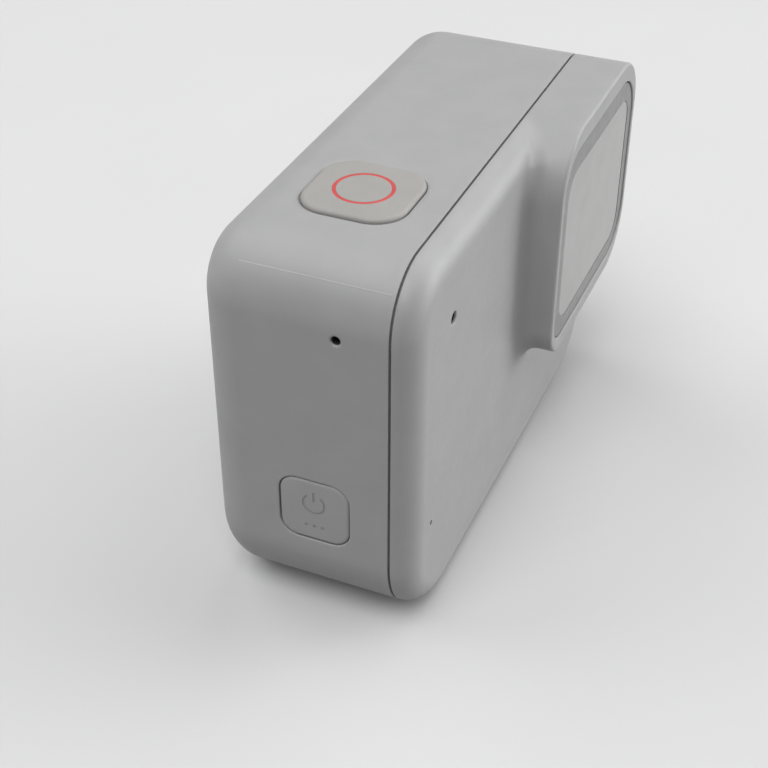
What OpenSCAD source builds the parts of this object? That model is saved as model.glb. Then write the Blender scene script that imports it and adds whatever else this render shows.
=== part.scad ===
// Action camera: a small sealed case with a raised square lens block, a shutter
// button on top, a mode button on one side, a port door on the other side and a
// touch display on the back. Millimetres. +Z is up, the lens looks along -Y, and
// the origin is under the middle of the case, on the surface it stands on.

/* [Case] */
// Width of the case, side to side
case_w = 62.3; // [61:0.1:64]
// Height of the case, without the raised shutter button
case_h = 44.9; // [44:0.1:47]
// Depth of the case with the lens block
case_d = 28.3; // [27.8:0.1:30]
// How far the lens block stands forward of the front face
block_stand = 4.05; // [3.8:0.05:4.3]
// Radius of the top corners, seen from the front
top_r = 7; // [6.5:0.1:7.4]
// Radius of the bottom corners, seen from the front
bottom_r = 9.6; // [9:0.1:9.8]
// Rounding round the front face, which ends at the seam
front_edge_r = 2.83; // [2.6:0.01:3]
// Rounding round the back face
back_edge_r = 4.8; // [4.6:0.1:5]
// Thickness of the moulded walls
wall = 1.7; // [1.6:0.05:1.8]
// Open line between the front cover and the rear body
seam_gap = 0.26; // [0.2:0.02:0.3]

/* [Lens block] */
// Left edge of the lens block, from the middle of the case
block_left = 0.93; // [0.6:0.01:1.2]
// Bottom edge of the lens block, above the underside of the case
block_bottom = 16.9; // [16.5:0.1:17.5]
// Width of the rim at the block's left and right
rim_side = 1.01; // [0.9:0.01:1.2]
// Width of the rim at the block's top
rim_top = 2.37; // [2.2:0.01:2.5]
// Width of the rim at the block's bottom
rim_bottom = 1.87; // [1.7:0.01:2]
// Width of the cover glass
glass_w = 24.4; // [24:0.1:25]
// Height of the cover glass
glass_h = 19; // [18:0.1:19.2]
// Radius of the block's lower corner over the front face
block_low_r = 4.4; // [4:0.1:5]
// Radius of the soft step where the block meets the front face
step_r = 2.2; // [1.8:0.1:3]
// Radius of the lens barrel
barrel_r = 7.6; // [7.4:0.1:7.7]

/* [Buttons] */
// Middle of the shutter button, from the middle of the case
shutter_x = -15.7; // [-16:0.1:-15]
// Middle of the shutter button, front to back
shutter_y = 2.1; // [1.6:0.1:2.2]
// Side of the shutter button
shutter_side = 11.4; // [11.2:0.1:11.8]
// How far the shutter button stands above the case
shutter_rise = 0.35; // [0.2:0.05:0.5]
// Travel of the shutter button
shutter_travel = 0.5; // [0.3:0.05:0.5]
// Middle radius of the red ring
ring_r = 3.05; // [2.9:0.05:3.3]
// Middle of the mode button, front to back
mode_y = 1.24; // [1:0.02:1.5]
// Middle of the mode button, above the underside
mode_z = 14.8; // [14.6:0.1:15]
// Side of the mode button
mode_side = 8; // [7.8:0.1:8.4]
// Travel of the mode button
mode_travel = 0.4; // [0.2:0.05:0.4]

/* [Port door] */
// Front edge of the port door
door_front = -5; // [-5.2:0.1:-4.8]
// Back edge of the port door
door_back = 8.8; // [8.6:0.1:8.9]
// Bottom edge of the port door
door_bottom = 11; // [10.9:0.1:11.2]
// Top edge of the port door
door_top = 32; // [31.8:0.1:32.1]
// Thickness of the port door
door_t = 1.6; // [1.5:0.05:1.6]
// Open line round the port door
door_gap = 0.25; // [0.2:0.01:0.3]
// Radius of the hinge pin
pin_r = 0.4; // [0.36:0.01:0.42]
// Travel of the door latch
latch_travel = 0.9; // [0.7:0.05:0.9]

/* [Display] */
// Width of the touch glass
display_w = 50; // [49:0.5:50.5]
// Height of the touch glass
display_h = 33.4; // [32:0.2:33.6]

/* [Hidden] */

$fn = 64;
eps = 0.01;
// How far a cut runs past what it cuts
past = 1;
half_w = case_w / 2;
back_y = case_d / 2;
block_y = -case_d / 2;
front_y = block_y + block_stand;
seam_y = front_y + front_edge_r;
seam_front = seam_y - seam_gap / 2;
seam_back = seam_y + seam_gap / 2;
front_wall = 1.5;
front_inner = front_y + front_wall;
tongue = 1.1;
tongue_fit = 0.1;
tongue_in = 1;
gasket_in = 0.5;
cover_back = seam_front + tongue;
back_wall = 2;
back_inner = back_y - back_wall;
inner_w = half_w - wall;
inner_top = case_h - wall;

// Lens block and window
block_r = top_r;
block_radii = [block_r, block_r, block_low_r, block_r];
opening = [block_left + rim_side, half_w - rim_side, block_bottom + rim_bottom, case_h - rim_top];
opening_radii = [block_r - 1.2, block_r - 2.4, block_low_r - 1.2, block_r - 1.5];
ledge_y = block_y + 1.75;
ledge_t = 1;
bezel_gap = 0.12;
bezel_front = block_y + 0.15;
glass_front = block_y + 0.2;
glass_t = 0.7;
glass_r = 3;
glass_z = 30.3;
lens_x = (block_left + half_w) / 2;
lens_z = 30;
glass_ledge = 1;
glass_fit = 0.05;
glass_seal_w = 1.7;
ledge_w = 1.3;
cavity = [block_left + 2, inner_w - 0.9, block_bottom + 1.9, inner_top - 0.9];
cavity_r = 4.4;
spill = [3.93, 4.9];
mask_front = glass_front + glass_t + 0.15;
mask_t = 0.6;
mask_fit = 0.1;
mask_hole_r = barrel_r + 0.3;

// Lens
barrel_front = mask_front + 0.4;
shoulder_y = barrel_front + 3.5;
shank_r = 6.4;
barrel_back = shoulder_y + 4.8;
front_seat = barrel_front + 2.3;
rear_seat = barrel_front + 5.3;
bore_radii = [6.2, 4.2, 5];
ball_radii = [14, 9, 40];
holder_w = 15.4;
holder_h = 18;
boss_r = 8.4;
flange_y = shoulder_y + 2.6;
holder_back = -2.2;
stop_y = barrel_back + 0.1;
stop_t = 0.6;
holder_r = 1.2;
aperture = [8.4, 7];
filter_pocket = [12.4, 10.4];
filter_size = [10, 8.6];
filter_t = 0.3;
sensor_size = [9, 7.6];
sensor_t = 0.7;
die_size = [6.4, 4.8];
die_t = 0.15;
screw_way = 0.05;
board_t = 0.8;
lens_screw = [6, 7.6];

// Mid frame and boards
frame_y = -0.5;
frame_t = 1.2;
frame_back = frame_y + frame_t;
frame_left = -28.4;
frame_right = 23.2;
frame_bottom = 2.8;
frame_top = 42;
frame_screw_x = 25;
frame_screw_z = [5, 40.5];
boss_post_r = 2;
boss_depth = 5;
ear_x = frame_screw_x - 1.5;
ear_w = 6;
ear_h = [4, 3.6];
standoff_r = 1.6;
main_y = 2.4;
main_t = 1;
main_left = -22.8;
main_right = 22.8;
main_bottom = 4.6;
main_top = 37.8;
board_screw_at = [[-20.5, 7.5], [-20.5, 34.6], [10, 7.5]];
screw_r = 0.53;
pilot_r = 0.56;
head_r = 1.1;
head_t = 0.7;
chip_side = 13;
chip_t = 1.1;
chip_z = 21;
can_x = -4;
can = [20, 18];
can_h = 1.6;
can_t = 0.2;

// Shutter button
cap_gap = 0.2;
shutter_r = 3.5;
cap_flange = 0.8;
cap_flange_t = 0.6;
seal_t = 0.25;
seal_w = 0.9;
cap_clear = 0.05;
switch_w = 5.2;
switch_t = 1.4;
plunger_r = 1.2;
plunger_fit = 0.06;
plunger_depth = 0.3;
plunger_foot_t = 0.3;
well_spare = 0.2;
shutter_well = plunger_depth + shutter_travel + well_spare;
mode_well = plunger_depth + mode_travel + well_spare;
shelf_z = 39.6;
shelf_t = 1.2;
shelf_w = 8;
shelf_y = [-1.6, 6];
shutter_top = case_h + shutter_rise;
shutter_flange_top = inner_top - seal_t - cap_clear;
ring_line = 0.4;
ring_depth = 0.5;
mode_r = 2;
mode_flange_face = -inner_w + seal_t + cap_clear;
mode_switch_x = -27.6;
mode_tab_x = mode_switch_x + switch_t;
mode_tab_t = 1;
mode_tab_w = 7.2;
mode_way = [9.6, 20];
mic_way = [-27.8, 35];
shutter_way_w = 14.8;

// Port door and bay
knuckle_r = 0.95;
hinge_x = half_w - knuckle_r;
hinge_z = door_top - knuckle_r;
door_inner = half_w - door_t;
pin_fit = 0.05;
bore_r = pin_r + pin_fit;
pin_over = 1.1;
door_r = 2;
notch_r = 0.3;
bay_floor = 24.9;
bay_t = 0.8;
bay_floor_t = 1;
bay_r = 0.8;
bay = [-3.4, 7.4, 12.6, 29.8];
rim_t = 0.8;
rim_r = 1.5;
rim_y = [-6.2, 9];
rim_z = [9.8, 33.4];
seal_plug = 1.25;
seal_clear = 0.3;
seal_in = 1.3;
latch_y = (door_front + door_back) / 2;
latch_tip = 10.1;
latch_w = 1.6;
latch_x = [half_w - 1.2, half_w - 0.65];
latch_fit = 0.08;
pad_w = 3.2;
pad_z = [12.3, 14.9];
pad_face = half_w - 0.25;
pad_fit = 0.1;
pad_r = 0.4;
rib_w = 2.4;
rib_h = 0.3;
rib_pitch = 0.75;
ribs = 3;
latch_top = 16.6;
spring_h = 0.9;
spring_z = latch_top + latch_travel + 0.1;
spring_wire = 0.3;
spring_coil = 0.15;
notch_w = 2.4;
notch_bottom = 9.9;

// Ports
usb_w = 9.1;
usb_t = 3.26;
usb_len = 7.4;
usb_wall = 0.25;
usb_back_t = 1.2;
tongue_plate = [0.7, 6.7];
tongue_back = 0.6;
socket_fit = 0.02;
usb_y = main_y + main_t + usb_t / 2;
port_z = 20.8;
card_w = 12.4;
card_t = 1.5;
card_len = 13.5;
slot_w = 11.4;
slot_t = 0.9;
card_back_t = 1;
card_y = main_y - card_t / 2;

// Microphones, status light and speaker
mic_hole_r = 0.65;
side_mic = [-1.6, 37.2];
front_mic = [-21.4, 36.2];
mic_w = 3.6;
mic_h = 2.8;
mic_t = 1;
mic_port_r = 0.3;
mic_port_depth = 0.5;
side_membrane_r = 0.9;
front_membrane_r = 1.2;
membrane_t = 0.15;
light_at = [-26.3, 13.2];
light_r = 0.5;
light_foot_t = 0.6;
speaker_x = [-12, 3];
speaker_y = [4.2, 9];
speaker_h = 4.2;
mesh_t = 0.3;
grille_slots = 5;
slot_pitch = 2.4;
slot = [1, 3];
slot_r = 0.49;
speaker_foot_h = 0.6;
aerial_x = [3, 20];
aerial_y = [3, 8];
aerial_w = 1.4;
aerial_t = 0.25;

// Display
glass_depth = 0.9;
tape_t = 0.2;
display_z = case_h / 2;
panel_w = 45.2;
panel_h = 30;
panel_t = 1.6;
recess_clear = 0.15;
recess_y = back_y - glass_depth - tape_t;
display_r = 2.5;
panel_clear = 0.3;
panel_r = 1;
flex_w = 7;
flex_z = 8.7;
flex_t = 0.2;
plug_w = 8;
plug_z = [7.6, 10];
plug_t = 1;

// Battery
battery_x = [-23.7, 0.2];
battery_z = [4.4, 33.6];
battery_y = [-8.2, -1];
fold_h = 1.4;
fold_in = 2.4;
battery_tape_top = 29;
lead_x = -12.4;
lead_pitch = 1.4;
lead_r = 0.45;
lead_z = 35.7;
lead_plug = [4.6, 1.3, 2.2];
lead_way = [5.4, 2.8];

// Colours
case_grey = [0.66, 0.67, 0.68];
soft_grey = [0.60, 0.61, 0.62];
dark = [0.12, 0.12, 0.13];
rubber = [0.08, 0.08, 0.09];
cap_beige = [0.67, 0.65, 0.62];
coral = [0.80, 0.32, 0.32];
metal = [0.75, 0.76, 0.78];
glass_tint = [0.70, 0.75, 0.78];
board_green = [0.08, 0.30, 0.20];
amber = [0.80, 0.50, 0.15];
pad_blue = [0.55, 0.62, 0.75];
membrane_white = [0.85, 0.85, 0.83];

// ---- flat outlines ----

// The waste outside a rounded corner: a square less a circle, at the origin
module corner_waste(r) {
    difference() {
        square(r);
        circle(r);
    }
}

// Rectangle with corner radius rt at the top and rb at the bottom
module outline(x0, x1, z0, z1, rt, rb) {
    difference() {
        translate([x0, z0]) square([x1 - x0, z1 - z0]);
        if (rt > 0) translate([x1 - rt, z1 - rt]) corner_waste(rt);
        if (rt > 0) translate([x0 + rt, z1 - rt]) mirror([1, 0]) corner_waste(rt);
        translate([x1 - rb, z0 + rb]) mirror([0, 1]) corner_waste(rb);
        translate([x0 + rb, z0 + rb]) rotate(180) corner_waste(rb);
    }
}

// Rectangle with its own radius at the top right, top left, bottom left and bottom right
module four_corners(x0, x1, z0, z1, r) {
    difference() {
        translate([x0, z0]) square([x1 - x0, z1 - z0]);
        translate([x1 - r[0], z1 - r[0]]) corner_waste(r[0]);
        translate([x0 + r[1], z1 - r[1]]) mirror([1, 0]) corner_waste(r[1]);
        translate([x0 + r[2], z0 + r[2]]) rotate(180) corner_waste(r[2]);
        translate([x1 - r[3], z0 + r[3]]) mirror([0, 1]) corner_waste(r[3]);
    }
}

// Rectangle round a middle, with one corner radius
module round_rect(cx, cz, w, h, r) {
    outline(cx - w / 2, cx + w / 2, cz - h / 2, cz + h / 2, r, r);
}

// Section of the case from its middle out to reach, from y0 back to y1, with the
// outer corners rounded by r0 at the front and r1 at the back
module edge_section(reach, y0, y1, r0, r1) {
    difference() {
        translate([0, y0]) square([reach, y1 - y0]);
        if (r0 > 0) translate([reach - r0, y0 + r0]) mirror([0, 1]) corner_waste(r0);
        if (r1 > 0) translate([reach - r1, y1 - r1]) corner_waste(r1);
    }
}

// ---- solids ----

// An outline in X and Z, made solid from y0 back to y1
module y_plate(y0, y1) {
    translate([0, y1, 0]) rotate([90, 0, 0]) linear_extrude(y1 - y0) children();
}

// An outline in Y and Z, made solid from x0 to x1
module x_plate(x0, x1) {
    translate([x0, 0, 0]) rotate([90, 0, 90]) linear_extrude(x1 - x0) children();
}

// An outline in X and Y, made solid from z0 up to z1
module z_plate(z0, z1) {
    translate([0, 0, z0]) linear_extrude(z1 - z0) children();
}

module box(lo, hi) {
    translate(lo) cube(hi - lo);
}

// Round bar along Y
module y_rod(x, z, r, y0, y1) {
    translate([x, y1, z]) rotate([90, 0, 0]) cylinder(r = r, h = y1 - y0);
}

// Round bar along X
module x_rod(y, z, r, x0, x1) {
    translate([x0, y, z]) rotate([0, 90, 0]) cylinder(r = r, h = x1 - x0);
}

// One corner of the case: a quarter turn of its section about the corner's middle
module case_corner(x, z, turn, r, y0, y1, r0, r1) {
    translate([x, 0, z]) rotate([90, 0, 0]) rotate([0, 0, turn])
        rotate_extrude(angle = 90) mirror([0, 1]) edge_section(r, y0, y1, r0, r1);
}

// Rounded case block: half width hw, from z0 to z1 and y0 to y1, with corner radii
// rt at the top and rb at the bottom, and edge roundings r0 in front and r1 behind
module case_block(hw, z0, z1, y0, y1, rt, rb, r0, r1) {
    translate([0, 0, z0 + rb]) linear_extrude(z1 - rt - z0 - rb) {
        edge_section(hw, y0, y1, r0, r1);
        mirror([1, 0]) edge_section(hw, y0, y1, r0, r1);
    }
    translate([hw - rt, 0, z1 - rt]) rotate([0, -90, 0])
        linear_extrude(2 * (hw - rt)) edge_section(rt, y0, y1, r0, r1);
    translate([rb - hw, 0, z0 + rb]) rotate([0, 90, 0])
        linear_extrude(2 * (hw - rb)) edge_section(rb, y0, y1, r0, r1);
    case_corner(hw - rt, z1 - rt, 0, rt, y0, y1, r0, r1);
    case_corner(rt - hw, z1 - rt, 90, rt, y0, y1, r0, r1);
    case_corner(rb - hw, z0 + rb, 180, rb, y0, y1, r0, r1);
    case_corner(hw - rb, z0 + rb, 270, rb, y0, y1, r0, r1);
}

// The case's outline, drawn in by an inset
module case_outline(inset) {
    outline(inset - half_w, half_w - inset, inset, case_h - inset, top_r - inset, bottom_r - inset);
}

// Outline of the lens block, drawn in by an inset
module block_outline(inset) {
    four_corners(block_left + inset, half_w - inset, block_bottom + inset, case_h - inset,
        [for (r = block_radii) r - inset]);
}

// Outline of the window opening in the lens block, drawn in by an inset
module opening_outline(inset) {
    four_corners(opening[0] + inset, opening[1] - inset, opening[2] + inset, opening[3] - inset,
        [for (r = opening_radii) r - inset]);
}

// Outline of the cover glass, drawn in by an inset
module glass_outline(inset) {
    round_rect(lens_x, glass_z, glass_w - 2 * inset, glass_h - 2 * inset, max(glass_r - inset, 0.8));
}

module shutter_outline(grow) {
    round_rect(shutter_x, shutter_y, shutter_side + 2 * grow, shutter_side + 2 * grow, shutter_r + grow);
}

// Outline of the way through for the display panel
module panel_outline() {
    round_rect(0, display_z, panel_w + 2 * panel_clear, panel_h + 2 * panel_clear, panel_r);
}

module mode_outline(grow) {
    round_rect(mode_y, mode_z, mode_side + 2 * grow, mode_side + 2 * grow, mode_r + grow);
}

// Small pan-head screw along Y: its head lies in front of y, its shank goes back
module y_screw(x, y, z, length) {
    difference() {
        union() {
            y_rod(x, z, head_r, y - head_t, y);
            y_rod(x, z, screw_r, y - eps, y + length);
        }
        y_rod(x, z, head_r / 2, y - head_t - eps, y - head_t / 2);
    }
}

// ---- casings ----

module door_opening() {
    x_plate(inner_w - eps, half_w + past)
        outline(door_front - door_gap, door_back + door_gap, door_bottom - door_gap,
            door_top + door_gap, notch_r, door_r);
}

module grille() {
    for (i = [0 : grille_slots - 1]) {
        x = (speaker_x[0] + speaker_x[1]) / 2 + (i - (grille_slots - 1) / 2) * slot_pitch;
        z_plate(-eps, wall + eps)
            round_rect(x, (speaker_y[0] + speaker_y[1]) / 2, slot[0], slot[1], slot_r);
    }
}

module rear_body() color(case_grey) difference() {
    union() {
        difference() {
            case_block(half_w, 0, case_h, seam_back, back_y, top_r, bottom_r, 0, back_edge_r);
            case_block(inner_w, wall, inner_top, seam_back - past, back_inner, top_r - wall,
                bottom_r - wall, 0, back_edge_r - wall);
        }
        for (x = [-frame_screw_x, frame_screw_x], z = frame_screw_z)
            y_rod(x, z, boss_post_r, frame_back, back_inner + eps);
    }
    for (x = [-frame_screw_x, frame_screw_x], z = frame_screw_z)
        y_rod(x, z, pilot_r, frame_back - eps, frame_back + boss_depth);
    y_plate(recess_y, back_y + past)
        round_rect(0, display_z, display_w + 2 * recess_clear, display_h + 2 * recess_clear,
            display_r + recess_clear);
    y_plate(back_inner - eps, recess_y + eps) panel_outline();
    z_plate(inner_top - eps, case_h + past) shutter_outline(cap_gap);
    x_plate(-half_w - past, eps - inner_w) mode_outline(cap_gap);
    x_rod(side_mic[0], side_mic[1], mic_hole_r, -half_w - past, eps - inner_w);
    door_opening();
    x_plate(inner_w - eps, half_w + past)
        outline(latch_y - notch_w / 2, latch_y + notch_w / 2, notch_bottom, door_bottom, notch_r, notch_r);
    y_rod(hinge_x, hinge_z, pin_r + eps, door_front - pin_over, door_back + pin_over);
    grille();
}

// Quarter-round step that blends the lens block into the front face
module step_section() {
    difference() {
        square(step_r);
        translate([step_r, step_r]) circle(step_r);
    }
}

module block_step() {
    corner = [block_left + block_low_r, block_bottom + block_low_r];
    // along the block's left side
    translate([block_left, front_y, corner[1]])
        linear_extrude(case_h - top_r - corner[1]) rotate(180) step_section();
    // along the block's underside
    translate([corner[0], front_y, block_bottom]) rotate([0, 90, 0])
        linear_extrude(half_w - block_r - corner[0]) mirror([0, 1]) step_section();
    // round the block's lower left corner
    translate([corner[0], front_y, corner[1]]) rotate([90, 0, 0])
        rotate([0, 0, 180]) rotate_extrude(angle = 90) translate([block_low_r, 0]) step_section();
}

module front_cover() color(case_grey) difference() {
    union() {
        case_block(half_w, 0, case_h, front_y, seam_front, top_r, bottom_r, front_edge_r, 0);
        y_plate(block_y, seam_front) block_outline(0);
        block_step();
        // tongue that reaches into the rear body
        difference() {
            y_plate(seam_front - eps, cover_back) case_outline(wall + tongue_fit);
            y_plate(seam_front - past, cover_back + past) case_outline(wall + tongue_in);
        }
    }
    // hollow beside and below the lens block
    difference() {
        y_plate(front_inner, cover_back + past) case_outline(wall + tongue_in);
        y_plate(front_inner - past, cover_back + 2 * past) block_outline(-tongue_in / 2);
    }
    // window opening, its ledge, and the hollow behind it
    y_plate(block_y - past, ledge_y) opening_outline(0);
    y_plate(ledge_y - eps, ledge_y + ledge_t + eps) opening_outline(ledge_w);
    y_plate(ledge_y + ledge_t, cover_back + past)
        outline(cavity[0], cavity[1], cavity[2], cavity[3], cavity_r, cavity_r);
    y_plate(front_inner, cover_back + past)
        outline(cavity[0] - spill[0], cavity[1], cavity[2] - spill[1], cavity[3], cavity_r, panel_r);
    y_rod(front_mic[0], front_mic[1], mic_hole_r, front_y - past, front_inner + eps);
    y_rod(light_at[0], light_at[1], light_r + eps, front_y - past, front_inner + eps);
}

module seam_gasket() color(rubber) difference() {
    y_plate(seam_front, seam_back) case_outline(gasket_in);
    y_plate(seam_front - past, seam_back + past) case_outline(wall + tongue_fit);
}

// ---- window and lens ----

module lens_bezel() color(soft_grey) difference() {
    y_plate(bezel_front, ledge_y) opening_outline(bezel_gap);
    y_plate(bezel_front - past, mask_front) glass_outline(-glass_fit);
    y_plate(bezel_front, ledge_y + past) glass_outline(glass_ledge);
}

module lens_cover_glass() color(glass_tint)
    y_plate(glass_front, glass_front + glass_t) glass_outline(0);

module lens_glass_seal() color(rubber) difference() {
    y_plate(glass_front + glass_t, mask_front) glass_outline(0);
    y_plate(glass_front, mask_front + past) glass_outline(glass_seal_w);
}

module lens_mask() color(soft_grey) difference() {
    y_plate(mask_front, mask_front + mask_t) glass_outline(glass_ledge + mask_fit);
    y_rod(lens_x, lens_z, mask_hole_r, mask_front - past, mask_front + past);
}

module lens_barrel() color(dark) difference() {
    union() {
        y_rod(lens_x, lens_z, barrel_r, barrel_front, shoulder_y);
        y_rod(lens_x, lens_z, shank_r, shoulder_y - eps, barrel_back);
    }
    y_rod(lens_x, lens_z, bore_radii[0], barrel_front - past, front_seat);
    y_rod(lens_x, lens_z, bore_radii[1], front_seat - past, barrel_back);
    y_rod(lens_x, lens_z, bore_radii[2], rear_seat, barrel_back + past);
}

// Glass element in bore i: a disc whose front is the cap of a ball
module element(i, y0, y1) {
    intersection() {
        y_rod(lens_x, lens_z, bore_radii[i] - eps, y0, y1);
        translate([lens_x, y0 + ball_radii[i], lens_z]) sphere(ball_radii[i], $fn = 200);
    }
}

module lens_front_element() color(glass_tint) element(0, barrel_front + 0.1, front_seat);

module lens_middle_element() color(glass_tint) element(1, front_seat + 0.3, rear_seat - 0.2);

module lens_rear_element() color(glass_tint) element(2, rear_seat, barrel_back - 0.3);

// Small rectangle behind the lens
module lens_pane(size) {
    round_rect(lens_x, lens_z, size[0], size[1], 0.4);
}

module holder_outline() {
    round_rect(lens_x, lens_z, holder_w, holder_h, holder_r);
}

// Places a child at each of the four lens screws
module at_lens_screws() {
    for (sx = [-1, 1], sz = [-1, 1])
        translate([lens_x + sx * lens_screw[0], 0, lens_z + sz * lens_screw[1]]) children();
}

module lens_holder() color(dark) difference() {
    union() {
        y_plate(flange_y, holder_back) holder_outline();
        y_rod(lens_x, lens_z, boss_r, shoulder_y, flange_y + eps);
    }
    y_rod(lens_x, lens_z, shank_r + glass_fit, shoulder_y - past, stop_y);
    y_plate(stop_y - eps, holder_back) lens_pane(aperture);
    y_plate(stop_y + stop_t, holder_back + past) lens_pane(filter_pocket);
    at_lens_screws() y_rod(0, 0, pilot_r + screw_way, shoulder_y, holder_back + past);
}

module infrared_filter() color([0.45, 0.25, 0.28])
    y_plate(stop_y + stop_t, stop_y + stop_t + filter_t) lens_pane(filter_size);

module image_sensor() color([0.15, 0.13, 0.20]) {
    die_back = holder_back - sensor_t;
    y_plate(die_back, holder_back) lens_pane(sensor_size);
    y_plate(die_back - die_t, die_back) lens_pane(die_size);
}

module sensor_board() color(board_green) difference() {
    y_plate(holder_back, holder_back + board_t) holder_outline();
    at_lens_screws() y_rod(0, 0, pilot_r + screw_way, holder_back - past, holder_back + board_t + past);
}

module sensor_pad() color(pad_blue)
    y_plate(holder_back + board_t, frame_y) lens_pane([sensor_size[0], sensor_size[0]]);

module lens_screws() color(metal)
    at_lens_screws() y_screw(0, flange_y, 0, frame_back - flange_y - 0.2);

// ---- mid frame, boards and battery ----

module frame_plate() {
    y_plate(frame_y, frame_back)
        outline(frame_left, frame_right, frame_bottom, frame_top, 4.6, 6.8);
}

module mid_frame() color(metal) difference() {
    union() {
        frame_plate();
        // ears that reach the two screws on the right
        for (i = [0, 1])
            y_plate(frame_y, frame_back) round_rect(ear_x, frame_screw_z[i], ear_w, ear_h[i], standoff_r);
        // shelf under the shutter switch
        box([shutter_x - shelf_w / 2, shelf_y[0], shelf_z - shelf_t],
            [shutter_x + shelf_w / 2, shelf_y[1], shelf_z]);
        // tab behind the mode switch
        x_plate(mode_tab_x, mode_tab_x + mode_tab_t)
            round_rect(mode_y, mode_z, mode_tab_w, mode_tab_w, pad_r);
        // stand-offs for the main board
        for (p = board_screw_at) y_rod(p[0], p[1], standoff_r, frame_back - eps, main_y);
    }
    // clear of the shutter button
    box([shutter_x - shutter_way_w / 2, frame_y - past, shelf_z],
        [shutter_x + shutter_way_w / 2, frame_back + past, frame_top + past]);
    // clear of the mode switch and button
    box([frame_left - past, frame_y - past, mode_way[0]], [mode_tab_x, frame_back + past, mode_way[1]]);
    // clear of the side microphone
    box([frame_left - past, frame_y - past, mic_way[1]], [mic_way[0], frame_back + past, shelf_z]);
    // way through for the battery lead
    y_plate(frame_y - past, frame_back + past) round_rect(lead_x, lead_z, lead_way[0], lead_way[1], 0.8);
    for (x = [-frame_screw_x, frame_screw_x], z = frame_screw_z)
        y_rod(x, z, pilot_r + screw_way, frame_y - past, frame_back + past);
    for (p = board_screw_at) y_rod(p[0], p[1], pilot_r, frame_y - past, main_y + past);
    at_lens_screws() y_rod(0, 0, pilot_r, frame_y - past, frame_back + past);
}

module frame_screws() color(metal)
    for (x = [-frame_screw_x, frame_screw_x], z = frame_screw_z)
        y_screw(x, frame_y, z, frame_t + 4);

module main_board() color(board_green) difference() {
    y_plate(main_y, main_y + main_t)
        outline(main_left, main_right, main_bottom, main_top, 1.5, 3);
    for (p = board_screw_at) y_rod(p[0], p[1], pilot_r + screw_way, main_y - past, main_y + main_t + past);
}

// These screws go in from the back, so each is turned about the board
module board_screws() color(metal)
    for (p = board_screw_at) {
        back = main_y + main_t;
        translate([p[0], back, p[1]]) rotate([0, 0, 180]) y_screw(0, 0, 0, main_t + 1.6);
    }

module main_chip() color(dark)
    y_plate(main_y - chip_t, main_y) round_rect(0, chip_z, chip_side, chip_side, 0.5);

module chip_pad() color(pad_blue)
    y_plate(frame_back, main_y - chip_t) round_rect(0, chip_z, chip_side - 2, chip_side - 2, 0.5);

module shield_can() color(metal) difference() {
    board_back = main_y + main_t;
    y_plate(board_back, board_back + can_h) round_rect(can_x, chip_z, can[0], can[1], 1);
    y_plate(board_back - past, board_back + can_h - can_t)
        round_rect(can_x, chip_z, can[0] - 2 * can_t, can[1] - 2 * can_t, 1 - can_t);
}

module battery() color([0.20, 0.22, 0.26]) {
    y_plate(battery_y[0], battery_y[1])
        outline(battery_x[0], battery_x[1], battery_z[0], battery_z[1] - fold_h, 1, 1);
    // folded seal with the protection board
    y_plate(battery_y[0] + fold_in, battery_y[1] - fold_in)
        outline(battery_x[0] + 1, battery_x[1] - 1, battery_z[1] - fold_h - eps, battery_z[1], 0.4, 0.1);
}

module battery_tape() color(rubber)
    y_plate(battery_y[1], frame_y)
        outline(battery_x[0] + 2, battery_x[1] - 2, battery_z[0] + 3, battery_tape_top, 0.5, 0.5);

module battery_lead() color([0.65, 0.12, 0.10]) {
    start_y = (battery_y[0] + battery_y[1]) / 2;
    for (s = [-1, 1]) {
        x = lead_x + s * lead_pitch / 2;
        translate([x, start_y, battery_z[1]]) cylinder(r = lead_r, h = lead_z - battery_z[1]);
        translate([x, start_y, lead_z]) sphere(lead_r);
        y_rod(x, lead_z, lead_r, start_y, main_y - lead_plug[1] + 0.1);
    }
    box([lead_x - lead_plug[0] / 2, main_y - lead_plug[1], lead_z - lead_plug[2] / 2],
        [lead_x + lead_plug[0] / 2, main_y, lead_z + lead_plug[2] / 2]);
}

// ---- display ----

module display_glass() color([0.04, 0.04, 0.05])
    y_plate(recess_y + tape_t, back_y) round_rect(0, display_z, display_w, display_h, display_r);

module display_tape() color(rubber) difference() {
    y_plate(recess_y, recess_y + tape_t) round_rect(0, display_z, display_w, display_h, display_r);
    y_plate(recess_y - past, back_y) panel_outline();
}

module display_panel() color([0.15, 0.16, 0.18])
    y_plate(recess_y + tape_t - panel_t, recess_y + tape_t)
        round_rect(0, display_z, panel_w, panel_h, panel_r / 2);

module display_flex() color(amber) {
    panel_back = recess_y + tape_t - panel_t;
    plug_back = main_y + main_t + plug_t;
    box([-plug_w / 2, main_y + main_t, plug_z[0]], [plug_w / 2, plug_back, plug_z[1]]);
    box([-flex_w / 2, plug_back - eps, flex_z], [flex_w / 2, panel_back, flex_z + flex_t]);
}

// ---- sound, light and aerial ----

module speaker() color(dark) {
    top = wall + mesh_t + speaker_h;
    box([speaker_x[0], speaker_y[0], wall + mesh_t], [speaker_x[1], speaker_y[1], top]);
    box([speaker_x[0] + 2, speaker_y[0] + 1, top - eps],
        [speaker_x[0] + 6, speaker_y[1] - 1, top + speaker_foot_h]);
}

module speaker_mesh() color([0.3, 0.3, 0.31])
    box([speaker_x[0], speaker_y[0], wall], [speaker_x[1], speaker_y[1], wall + mesh_t]);

module side_mic_membrane() color(membrane_white)
    x_rod(side_mic[0], side_mic[1], side_membrane_r, -inner_w, membrane_t - inner_w);

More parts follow.
